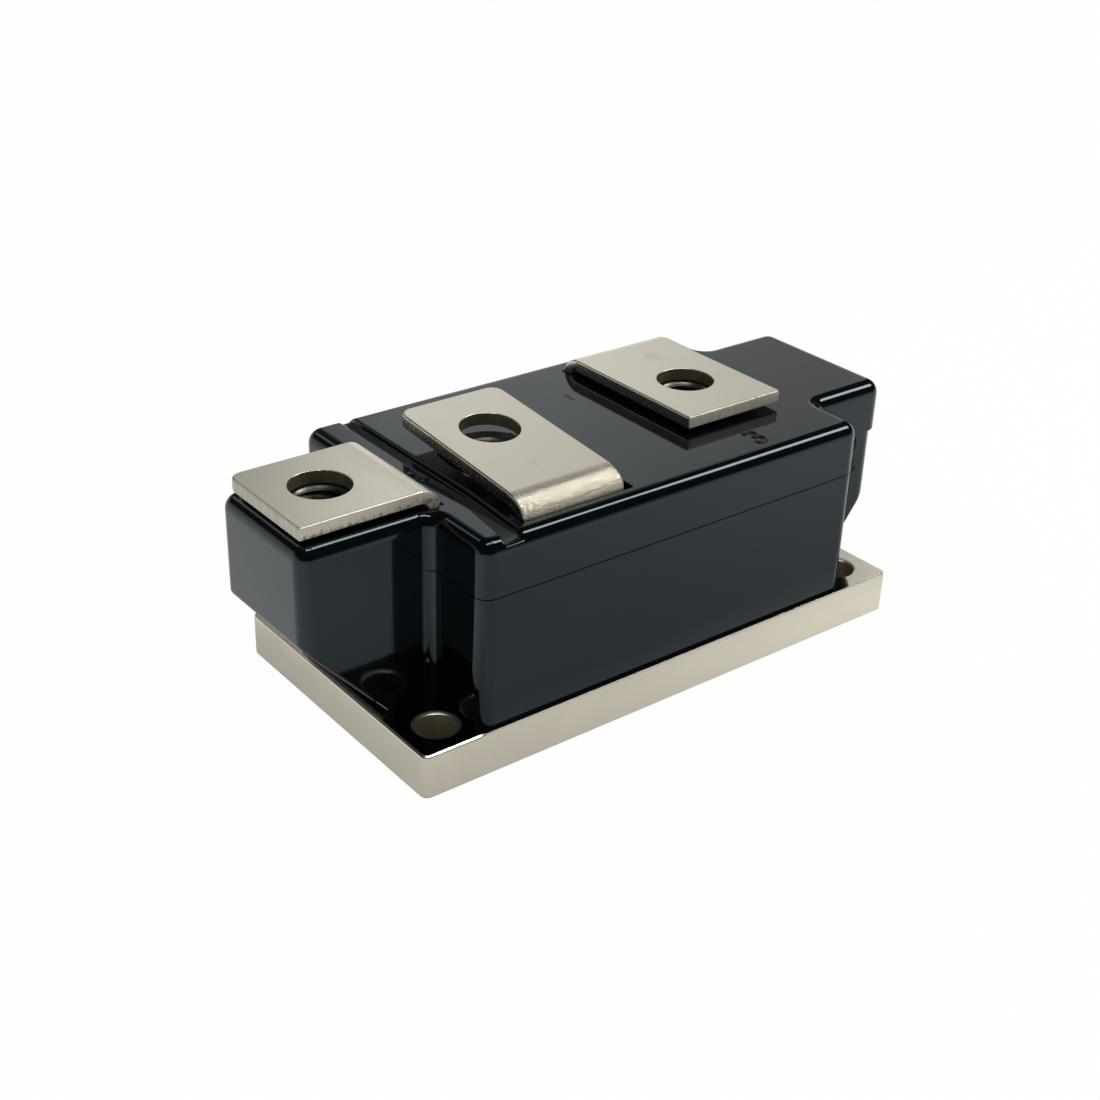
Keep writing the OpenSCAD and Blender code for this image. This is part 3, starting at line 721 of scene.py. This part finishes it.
def housing_frame():
    """Lower walls with the first terminal's whole block."""
    leg_y = T1_W / 2 + LEG_SIDE_ROOM
    leg_x = (T1_FACE - BAR_T - LEG_ROOM, T1_FACE + LEG_ROOM)
    tab = TAB_W / 2 + TAB_ROOM
    piece = to_object(housing_form(COVER_STEP), "moulded_frame")
    cutters = [above_seam(),
               slope(1, BLOCK_2_X - COVER_STEP, BLOCK_2_LIP), slope(-1, BLOCK_1_X, BLOCK_1_LIP)]
    combine(piece, cutters)
    edit(piece, clean)
    edit(piece, round_slopes)
    cutters = [box(-CAVITY_X, CAVITY_X, -CAVITY_Y, CAVITY_Y, PLATE_T - OVER, DECK_Z - DECK_T),
               box(*leg_x, -leg_y, leg_y, PLATE_T - OVER, DECK_Z + OVER), seam_groove(COVER_STEP)]
    for side in (-1, 1):
        for y in TAB_Y:
            cutters.append(box(CAVITY_X - OVER, BLOCK_2_X + OVER, side * y - tab, side * y + tab,
                               SEAM_Z - TAB_T, SEAM_Z + OVER))
    combine(piece, cutters + nut_spaces(T1_X) + tab_pockets(COVER_STEP))
    edit(piece, clean)
    return finish_piece(piece, [PLASTIC], "housing", "housing_frame")


def housing_cover():
    """Moulded top above the seam, with the nuts' bosses, the slots and the groove."""
    leg_1 = T1_W / 2 + LEG_SIDE_ROOM
    leg_2 = T2_W / 2 + LEG_SIDE_ROOM
    leg_3 = T3_W / 2 + LEG_SIDE_ROOM
    slot_w = BAR_T + 2 * LEG_ROOM
    piece = to_object(housing_form(0), "moulded_cover")
    combine(piece, [above_seam()], "INTERSECT")
    combine(piece, [box(-CAVITY_X, CAVITY_X, -CAVITY_Y, CAVITY_Y, SEAM_Z - OVER, DECK_Z - DECK_T)])
    boss_r = (NUT_AF / 2 + NUT_ROOM) / math.cos(math.radians(30)) + BOSS_WALL
    boss_z = NUT_TOP - NUT_H - WELL_H - BOSS_FLOOR
    boss = [(boss_r, boss_z), (boss_r, DECK_Z - DECK_T / 2)]
    combine(piece, [lathe(boss, x, 0) for x in (T2_X, T3_X)], "UNION")
    mouth = flare(SLOT_RIM_R, DECK_Z)
    slot_1 = [(0.0, SEAM_Z - OVER)] + mouth
    slot_2 = [(0.0, SEAM_Z)] + mouth
    cutters = nut_spaces(T2_X) + nut_spaces(T3_X) + tab_pockets(0) + [
        seam_groove(0),
        pocket(-COVER_END - OVER, T1_FACE + LEG_ROOM, -leg_1, leg_1, slot_1, SLOT_CORNER_R),
        pocket(T2_X - leg_2, T2_X + leg_2 + SLOT_KEY, -T2_LEG - LEG_ROOM,
               -T2_LEG - LEG_ROOM + slot_w + SLOT_BACK, slot_2, SLOT_CORNER_R),
        pocket(T3_X - leg_3, T3_X + leg_3, T3_LEG + LEG_ROOM - slot_w, T3_LEG + LEG_ROOM, slot_2,
               SLOT_CORNER_R),
        deck_groove()]
    combine(piece, cutters)
    edit(piece, clean)
    return finish_piece(piece, [PLASTIC], "housing", "housing_cover")


# Base plate

def plate_roll():
    """(inset, height) pairs up the plate's rolled upper edge: a bend, a slope and a bend onto the top."""
    r = PLATE_ROLL_R
    lean = math.pi / 2 - PLATE_ROLL
    pairs = [(r * (1 - math.cos(a)), r * math.sin(a)) for a in spread(0, lean, RIM_STEPS)]
    inset, height = pairs[-1]
    inset += PLATE_ROLL_L * math.sin(lean) + r * math.cos(lean)
    height += PLATE_ROLL_L * math.cos(lean) - r * math.sin(lean)
    rest = spread(lean, math.pi / 2, RIM_STEPS)
    pairs += [(inset - r * math.cos(a), height + r * math.sin(a)) for a in rest]
    top = pairs[-1][1]
    return [(inset, PLATE_T + height - top) for inset, height in pairs]


def plate_outline(half_x, half_y, inset, share):
    """Outline of the plate drawn in by inset, or a share of it along the housing and at the front right."""
    ring = rounded_rect(inset - half_x, half_x - inset, inset - half_y, half_y - inset,
                        PLATE_CORNER_R - inset)
    quarter = len(ring) // 4
    far = BODY_X + PLATE_CHANGE
    near = BODY_X - PLATE_CHANGE
    sides = [(-far, inset), (-near, inset * share), (near, inset * share), (far, inset)]
    front = [(x, drawn - half_y) for x, drawn in sides[:3]]
    back = [(-x, half_y - drawn) for x, drawn in sides]
    corner = [(x, y - inset * (1 - share)) for x, y in ring[3 * quarter:]]
    return ring[:quarter] + back + ring[quarter:3 * quarter] + front + corner


def base_plate():
    """Plate with a rolled upper edge and four bored holes."""
    turns = spread(0, math.pi / 2, RIM_STEPS)
    low = [(PLATE_LOW_R * (1 - math.sin(a)), PLATE_LOW_R * (1 - math.cos(a)), 1.0) for a in turns]
    high = [(inset, z, PLATE_STEEP) for inset, z in plate_roll()]
    rings = [[(x, y, z) for x, y in plate_outline(BASE_HIGH.x, BASE_HIGH.y, inset, share)]
             for inset, z, share in low + high]
    piece = to_object(loft(rings), "plated_base")
    wide = HOLE_R + HOLE_CHAMFER
    fall = math.tan(PLATE_ROLL)
    profile = [(wide + OVER, -OVER), (wide, 0), (HOLE_R, HOLE_CHAMFER), (HOLE_R, PLATE_T - HOLE_ROLL * fall),
               (HOLE_R + HOLE_ROLL, PLATE_T), (HOLE_R + HOLE_ROLL + OVER, PLATE_T + OVER * fall)]
    combine(piece, [lathe(profile, sx * HOLE_X, sy * HOLE_Y) for sx in (-1, 1) for sy in (-1, 1)])
    edit(piece, clean)

    def paint(bm):
        """Second material on the level faces, third on the holes' walls."""
        for face in bm.faces:
            middle = face.calc_center_median()
            from_hole = math.hypot(abs(middle.x) - HOLE_X, abs(middle.y) - HOLE_Y)
            if from_hole < HOLE_R + 0.05 and abs(face.normal.z) < PLATE_WALL:
                face.material_index = 2
            elif abs(face.normal.z) > PLATE_LEVEL:
                face.material_index = 1

    edit(piece, paint)
    return finish_piece(piece, [PLATE_SIDE, PLATE_TOP, PLATE_BORE], "base", "base_plate")


# Bars

class Path:
    """Middle line of a bent bar in one upright plane, made of straight runs and bends."""

    def __init__(self, start, angle):
        self.runs = []
        self.point = Vector(start)
        self.angle = angle
        self.length = 0.0

    def line(self, length):
        self.runs.append((self.length, length, self.point.copy(), self.angle, 0.0, 0.0))
        self.point += length * Vector((math.cos(self.angle), math.sin(self.angle)))
        self.length += length

    def bend(self, turn, radius=BEND_MIDDLE):
        length = abs(turn) * radius
        self.runs.append((self.length, length, self.point.copy(), self.angle, turn, radius))
        side = math.copysign(radius, turn)
        normal = Vector((-math.sin(self.angle), math.cos(self.angle)))
        centre = self.point + side * normal
        self.angle += turn
        self.point = centre - side * Vector((-math.sin(self.angle), math.cos(self.angle)))
        self.length += length

    def at(self, s):
        """Point of the middle line and the bar's normal there."""
        for start, length, point, angle, turn, radius in self.runs:
            if s <= start + length + 1e-6:
                break
        along = s - start
        normal = Vector((-math.sin(angle), math.cos(angle)))
        if turn == 0:
            return point + along * Vector((math.cos(angle), math.sin(angle))), normal
        side = math.copysign(radius, turn)
        now = angle + turn * along / length
        turned = Vector((-math.sin(now), math.cos(now)))
        return point + side * normal - side * turned, turned

    def bends(self, widest=math.inf):
        """Spans of the bends whose radius is below widest."""
        return [(start, start + length) for start, length, _, _, turn, radius in self.runs
                if turn and radius < widest]


def flat_blank(name, outline_at, thickness, holes):
    """Flat sheet-metal blank with rolled rims and round holes, as (s, t, height)."""
    turns = spread(0, math.pi / 2, RIM_STEPS)
    rim = min(BAR_RIM_R, thickness / 3)
    levels = [(rim * (1 - math.sin(a)), rim * (1 - math.cos(a))) for a in turns]
    levels += [(rim * (1 - math.cos(a)), thickness - rim * (1 - math.sin(a))) for a in turns]
    piece = to_object(loft([[(s, t, h) for s, t in outline_at(inset)] for inset, h in levels]), name)
    cutters = []
    mouth = flare(BORE_RIM_R, thickness)
    for s, t, r in holes:
        profile = [(r + g, thickness - h) for g, h in reversed(mouth)] + [(r + g, h) for g, h in mouth]
        cutters.append(lathe(profile, s, t))
    combine(piece, cutters)
    return edit(piece, clean)


def mark_sides(bm, holes):
    """Second material on a flat blank's sheared ends, third on its long sides, fourth on its bored walls."""
    for face in bm.faces:
        if abs(face.normal.z) > BLANK_FLAT:
            continue
        middle = face.calc_center_median()
        if any(math.hypot(middle.x - s, middle.y - t) < r + 0.2 for s, t, r in holes):
            face.material_index = 3 if abs(face.normal.z) < BLANK_WALL else 0
        elif abs(face.normal.x) > 0.7:
            face.material_index = 1
        else:
            face.material_index = 2


def bend_share(s, path):
    """1 inside the bar's tight bends, falling to 0 over a short way outside them."""
    away = min(max(s0 - s, s - s1, 0.0) for s0, s1 in path.bends(T2_SOFT_R))
    return max(0.0, 1 - away / BEND_FADE)


def bent_bar(name, node, path, width, corners, holes, to_world, pitted, side):
    """Bar bent from a flat blank, with s along the path and t across it.

    corners are the blank's four radii, pitted is how far the bends are pitted, and side is the long
    sides' material.
    """

    def outline_at(inset):
        return rounded_rect(inset, path.length - inset, inset - width / 2, width / 2 - inset,
                            [max(r - inset, LEAST_R) for r in corners], BLANK_STEPS)

    piece = flat_blank(name, outline_at, BAR_T, holes)
    edit(piece, lambda bm: mark_sides(bm, holes))

    def fold(bm):
        stops = [s for s0, s1 in path.bends() for s in spread(s0, s1, BEND_STEPS)]
        stops += [s for s0, s1 in path.bends() for s in (s0 - BEND_FADE, s1 + BEND_FADE)
                  if 0 < s < path.length]
        for s in stops:
            bmesh.ops.bisect_plane(bm, geom=bm.verts[:] + bm.edges[:] + bm.faces[:], dist=1e-5,
                                   plane_co=(s, 0, 0), plane_no=(1, 0, 0))
        layer = bm.verts.layers.float.new("bend")
        for vert in bm.verts:
            s, t, h = vert.co
            vert[layer] = pitted * bend_share(s, path)
            point, normal = path.at(s)
            u, z = point + (h - BAR_T / 2) * normal
            vert.co = to_world(u, t, z)
        bmesh.ops.recalc_face_normals(bm, faces=bm.faces)

    edit(piece, fold)
    return finish_piece(piece, [BAR_FACE, BAR_END, side, HOLE_WALL], "terminal", node)


def terminal_1():
    """Bar over the first block; its leg goes down in the body's end wall."""
    low = box_mm("terminal_1")[0].z
    path = Path((T1_X - T1_TIP, BAR_TOP - BAR_T / 2), 0)
    path.line(T1_FACE - BEND_OUT - (T1_X - T1_TIP))
    path.bend(-math.pi / 2)
    path.line(BAR_TOP - low - 2 * BEND_OUT)
    path.bend(math.pi / 2)
    path.line(T1_FOOT - BEND_R)
    corners = [BAR_FOOT_R, BAR_CORNER_R, BAR_END_R, BAR_FOOT_R]
    return bent_bar("bent_bar_1", "terminal_1", path, T1_W, corners, [(T1_TIP, 0, BAR_HOLE_R)],
                    lambda u, t, z: (u, t, z), pitted=0.3, side=BAR_TORN)


def terminal_2():
    """Bar that rises to the back; its upper bend is soft, then tight, and its leg is at the front."""
    low = box_mm("terminal_2")[0].z
    run = (T2_LEG + T2_TIP - BEND_OUT * (1 - math.sin(T2_RISE))) / math.cos(T2_RISE)
    start = (T2_LEG - BEND_OUT + BEND_MIDDLE * math.sin(T2_RISE) - run * math.cos(T2_RISE),
             BAR_TOP - BEND_OUT + BEND_MIDDLE * math.cos(T2_RISE) + run * math.sin(T2_RISE))
    path = Path(start, -T2_RISE)
    reach = T2_SOFT_R * (math.sin(T2_SOFT) - math.sin(T2_RISE)) + T2_TIGHT_R * (1 - math.sin(T2_SOFT))
    path.line((T2_LEG - BAR_T / 2 - start[0] - reach) / math.cos(T2_RISE))
    path.bend(T2_RISE - T2_SOFT, T2_SOFT_R)
    path.bend(T2_SOFT - math.pi / 2, T2_TIGHT_R)
    path.line(path.point.y - low - BEND_OUT)
    path.bend(-math.pi / 2)
    gate = path.length + T2_LEG - BEND_OUT
    path.line(T2_FOOT - BEND_OUT)
    hole = -start[0] / math.cos(T2_RISE)
    holes = [(hole, 0, BAR_HOLE_R), (gate, 0, GATE_HOLE_R)]
    corners = [BAR_FOOT_R, BAR_CORNER_R, BAR_CORNER_R, BAR_FOOT_R]
    return bent_bar("bent_bar_2", "terminal_2", path, T2_W, corners, holes,
                    lambda u, t, z: (T2_X + t, -u, z), pitted=1.0, side=BAR_SIDE)


def terminal_3():
    """Bar whose leg goes down at the back."""
    low = box_mm("terminal_3")[0].z
    path = Path((-T3_TIP, BAR_TOP - BAR_T / 2), 0)
    path.line(T3_LEG - BEND_OUT + T3_TIP)
    path.bend(-math.pi / 2)
    path.line(BAR_TOP - low - 2 * BEND_OUT)
    path.bend(-math.pi / 2)
    path.line(T3_FOOT - BEND_OUT)
    corners = [BAR_FOOT_R, BAR_END_R, BAR_END_R, BAR_FOOT_R]
    return bent_bar("bent_bar_3", "terminal_3", path, T3_W, corners, [(T3_TIP, 0, BAR_HOLE_R)],
                    lambda u, t, z: (T3_X - t, u, z), pitted=0.2, side=BAR_SIDE)


# Control tabs

def control_tab(node):
    """Blade with a tapered end and a small hole."""
    low, high = box_mm(node)
    y = (low.y + high.y) / 2
    tip = TAB_W / 4

    def outline_at(inset):
        end = high.x - inset
        side = TAB_W / 2 - inset
        return [(low.x + inset, -side), (end - tip, -side), (end, -tip), (end, tip), (end - tip, side),
                (low.x + inset, side)]

    piece = flat_blank("blade_" + node, outline_at, TAB_T, [(high.x - TAB_W, 0, TAB_HOLE_R)])
    edit(piece, lambda bm: bmesh.ops.translate(bm, verts=bm.verts, vec=(0, y, low.z)))
    return finish_piece(piece, [TIN], "tab", node)


# Nuts

def threaded_nut(node):
    """Hexagonal nut with chamfered corners and a cut thread."""
    low, high = box_mm(node)
    x = (low.x + high.x) / 2
    flat_r = NUT_AF / 2
    face_r = flat_r * NUT_FACE
    mouth = THREAD_R + THREAD_DEPTH + SINK
    chamfer = math.tan(math.radians(30))
    angles = [2 * math.pi * i / NUT_STEPS for i in range(NUT_STEPS)]
    rings = []

    def ring(radius_at, height_at):
        rings.append([(x + radius_at(a) * math.cos(a), radius_at(a) * math.sin(a), height_at(a))
                      for a in angles])

    def hex_r(a):
        return flat_r / math.cos((a + math.pi / 6) % (math.pi / 3) - math.pi / 6)

    ring(lambda a: mouth, lambda a: high.z)
    ring(lambda a: face_r, lambda a: high.z)
    ring(hex_r, lambda a: high.z - (hex_r(a) - face_r) * chamfer)
    ring(hex_r, lambda a: low.z)
    ring(lambda a: mouth, lambda a: low.z)
    levels = int(NUT_H / THREAD_PITCH * THREAD_STEPS)
    for i in range(1, levels):
        z = low.z + NUT_H * i / levels
        lead_in = THREAD_DEPTH + SINK - min(z - low.z, high.z - z)

        def thread_r(a, z=z, lead_in=lead_in):
            phase = (z / THREAD_PITCH - a / (2 * math.pi)) % 1.0
            return THREAD_R + max(THREAD_DEPTH * (1 - abs(2 * phase - 1)), lead_in, 0.0)

        ring(thread_r, lambda a, z=z: z)
    bm = loop_solid(rings)
    # Painted shade and highlight: dark materials on the outer faces and the thread, a lighter one on the sunk
    # mouth
    for face in bm.faces:
        middle = face.calc_center_median()
        from_axis = math.hypot(middle.x - x, middle.y)
        if from_axis > mouth - TOUCH:
            continue
        sunk = from_axis > mouth - 2 * SINK and high.z - middle.z < THREAD_DEPTH
        face.material_index = 2 if sunk else 1
    piece = to_object(bm, "threaded_" + node)
    return finish_piece(piece, [NUT_STEEL, THREAD, NUT_RING], "nut", node)


# Moulded numbers

def number(text, name, place_at, size, turn, line=0.11):
    """Raised outline of a plain number, lying in the plane that turn gives."""
    curve = bpy.data.curves.new(name, "FONT")
    curve.body = text
    curve.size = size * MM
    curve.align_x = "CENTER"
    curve.align_y = "CENTER"
    curve.fill_mode = "NONE"
    curve.bevel_depth = line * MM
    curve.bevel_resolution = 2
    obj = bpy.data.objects.new(name, curve)
    scene.collection.objects.link(obj)
    obj.matrix_world = Matrix.Translation(Vector(place_at) * MM) @ turn
    mesh = bpy.data.meshes.new_from_object(obj.evaluated_get(bpy.context.evaluated_depsgraph_get()))
    piece = bpy.data.objects.new(name, mesh)
    scene.collection.objects.link(piece)
    piece.data.transform(obj.matrix_world)
    bpy.data.objects.remove(obj)
    mesh.materials.clear()
    mesh.materials.append(PLASTIC)
    for polygon in mesh.polygons:
        polygon.use_smooth = True
    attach(piece, "root")
    return piece


def numbers():
    """Three numbers on the deck and two on the second block's front."""
    flat = Matrix.Identity(4)
    number("2", "mark_1", (-31.5, -0.8, DECK_Z), 4.4, flat, 0.2)
    number("1", "mark_2", (4.3, 9.6, DECK_Z), 3.4, flat, 0.05)
    number("3", "mark_3", (18.4, -18.2, DECK_Z), 6.0, flat, 0.17)
    side = Matrix.Rotation(math.radians(90), 4, "X")
    number("4", "mark_4", (46.6, -BLOCK_2_Y + COVER_STEP, 25.6), 3.2, side)
    number("5", "mark_5", (46.9, -BLOCK_2_Y + COVER_STEP, 21.8), 3.2, side)


housing_frame()
housing_cover()
base_plate()
terminal_1()
terminal_2()
terminal_3()
for chip in (1, 2):
    control_tab(f"gate_tab_{chip}")
    control_tab(f"cathode_tab_{chip}")
for bar in (1, 2, 3):
    threaded_nut(f"nut_{bar}")
numbers()

INNER = {"ceramic": CERAMIC, "copper_pad": COPPER, "cathode_link": COPPER, "lower_disc": MOLYBDENUM,
         "upper_disc": MOLYBDENUM, "chip": SILICON, "gate_lead": INSULATION, "cathode_lead": INSULATION}
for name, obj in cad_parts.items():
    for start, material in INNER.items():
        if name.startswith(start):
            obj.data.materials.clear()
            obj.data.materials.append(material)


# Light

def ray_kinds(owner):
    """1 for the rays that show the background (camera, glossy and transmission), and 1 for camera rays."""
    rays = add_node(owner, "ShaderNodeLightPath").outputs
    camera = rays["Is Camera Ray"]
    shown = calculate(owner, "MAXIMUM", camera, rays["Is Glossy Ray"])
    return calculate(owner, "MAXIMUM", shown, rays["Is Transmission Ray"]), camera


def mix(owner, factor, first, second):
    return add_node(owner, "ShaderNodeMixShader", {"Fac": factor, 1: first, 2: second}).outputs["Shader"]


def emission(owner, kind, colour, strength=1.0):
    """Light of a background or a surface; colour may be a socket."""
    return add_node(owner, kind, {"Color": colour, "Strength": strength}).outputs[0]


def dot(owner, vector, axis):
    made = add_node(owner, "ShaderNodeVectorMath", {0: vector, 1: axis}, operation="DOT_PRODUCT")
    return made.outputs["Value"]


def fade(owner, value, start, end, low=0.0, high=1.0):
    """Smooth change from low to high while a value goes from start to end."""
    inputs = {"Value": value, "From Min": start, "From Max": end, "To Min": low, "To Max": high}
    return add_node(owner, "ShaderNodeMapRange", inputs, interpolation_type="SMOOTHSTEP").outputs["Result"]


WHITE = (1, 1, 1, 1)


def studio_world():
    """A white backdrop behind the object, a glow along the horizon, dark elsewhere, and an even soft fill."""
    world = bpy.data.worlds.new("studio")
    scene.world = world
    world.use_nodes = True
    world.node_tree.nodes.clear()
    direction = add_node(world, "ShaderNodeTexCoord").outputs["Generated"]
    leftward = dot(world, direction, (-0.7071, 0.7071, 0))
    forward = dot(world, direction, (0.7071, 0.7071, 0))
    height = dot(world, direction, (0, 0, 1))
    stops = [(0.28, 0.0), (0.35, 0.75), (0.40, 0.75), (0.44, 0.54), (0.48, 0.58), (0.53, 0.66), (0.60, 0.82),
             (0.70, 0.88), (0.76, 0.42), (0.9, 0.08)]
    shade = ramp(world, calculate(world, "ADD", leftward, 0.5), stops)
    backdrop = calculate(world, "MULTIPLY", shade, fade(world, forward, 0.15, 0.35))
    backdrop = calculate(world, "MULTIPLY", backdrop, fade(world, height, 0.58, 0.74, 1, 0))
    glow = fade(world, height, 0.04, 0.16, 0.5, 0.03)
    haze = calculate(world, "MULTIPLY", fade(world, height, 0.15, 0.4, 0.8, 0),
                     fade(world, leftward, 0.5, 0.9))
    level = calculate(world, "MAXIMUM", calculate(world, "MAXIMUM", backdrop, glow), haze)
    shown, camera = ray_kinds(world)
    fill = emission(world, "ShaderNodeBackground", (0.98, 0.99, 1.0, 1), 0.45)
    around = emission(world, "ShaderNodeBackground", level)
    white = emission(world, "ShaderNodeBackground", WHITE)
    lit = mix(world, shown, fill, around)
    add_node(world, "ShaderNodeOutputWorld", {"Surface": mix(world, camera, lit, white)})


def white_table():
    """White for the camera, with a faint shadow; for gloss, painted light and shade: black under the plate, a
    painted shadow near it, bright at the left.
    """
    material = bpy.data.materials.new("white_table")
    material.use_nodes = True
    material.node_tree.nodes.clear()
    position = add_node(material, "ShaderNodeTexCoord").outputs["Object"]
    parts = add_node(material, "ShaderNodeSeparateXYZ", {"Vector": position}).outputs
    # Painted shadow and light for gloss rays: dim near the plate, lighter far off, at the left and towards
    # the right
    past = [calculate(material, "SUBTRACT", calculate(material, "ABSOLUTE", parts[axis]), half * MM)
            for axis, half in (("X", BASE_HIGH.x), ("Y", BASE_HIGH.y))]
    distance = calculate(material, "MAXIMUM", *past)
    leftward = fade(material, dot(material, position, (-0.7, 0.71, 0)), -0.06, 0.05)
    near = fade(material, distance, 0.006, 0.014, 0.2, 0.0)
    front = calculate(material, "ADD", fade(material, distance, 0.0, 0.07, 0.42, 0.72), near)
    front = calculate(material, "MULTIPLY", front, fade(material, parts["X"], -0.02, 0.07, 1.05, 1.32))
    left = fade(material, distance, 0.0, 0.03, 0.43, 1.02)
    blend = add_node(material, "ShaderNodeMix", {0: leftward, 2: front, 3: left}).outputs[0]
    # Painted shadow: black under the plate
    level = calculate(material, "MULTIPLY", blend, fade(material, distance, -0.001, 0.0006))
    shown, camera = ray_kinds(material)
    diffuse = add_node(material, "ShaderNodeBsdfDiffuse", {"Color": (0.8, 0.8, 0.8, 1)}).outputs["BSDF"]
    reflected = emission(material, "ShaderNodeEmission", level)
    white = emission(material, "ShaderNodeEmission", WHITE)
    lit = mix(material, shown, diffuse, reflected)
    seen = mix(material, 0.975, diffuse, white)
    add_node(material, "ShaderNodeOutputMaterial", {"Surface": mix(material, camera, lit, seen)})
    return material


def pale_floor():
    """Table under the part, which is stage and no piece of it."""
    bm = bmesh.new()
    bmesh.ops.create_grid(bm, x_segments=8, y_segments=8, size=1.5)
    floor = to_object(bm, "floor")
    floor.location.z = -0.0002
    floor.data.materials.append(white_table())


def soft_lamp(name, place_at, target, size, power, colour=(1, 1, 1)):
    """Oblong area lamp that faces a target."""
    lamp = bpy.data.lights.new(name, "AREA")
    lamp.shape = "RECTANGLE"
    lamp.size, lamp.size_y = size
    lamp.energy = power
    lamp.color = colour
    obj = bpy.data.objects.new(name, lamp)
    obj.location = place_at
    obj.rotation_euler = (Vector(target) - Vector(place_at)).to_track_quat("-Z", "Y").to_euler()
    scene.collection.objects.link(obj)


studio_world()
pale_floor()
MIDDLE = (0, 0, 0.02)
WARM = (1.0, 0.95, 0.91)
soft_lamp("overhead_strip", (0.38, -0.15, 0.535), MIDDLE, (0.13, 0.42), 1.75, WARM)
soft_lamp("overhead_top", (-0.02, -0.13, 0.66), MIDDLE, (0.34, 0.1), 1.0, WARM)
soft_lamp("back_left", (-0.17, 0.55, 0.47), MIDDLE, (0.1, 0.2), 0.07)


# Camera

def photo_camera():
    """Camera at the photo's viewpoint."""
    camera = bpy.data.cameras.new("photo_camera")
    camera.lens = 55.417
    camera.sensor_width = 36
    camera.clip_start = 0.01
    right = Vector((0.79085, -0.61134, 0.02849)).normalized()
    up = Vector((0.27015, 0.39048, 0.88008))
    back = right.cross(up).normalized()
    up = back.cross(right)
    obj = bpy.data.objects.new("photo_camera", camera)
    obj.matrix_world = Matrix.Translation((-0.150974, -0.181371, 0.141330)) @ Matrix(
        (right, up, back)).transposed().to_4x4()
    scene.collection.objects.link(obj)
    scene.camera = obj


photo_camera()
scene.view_settings.view_transform = "Standard"
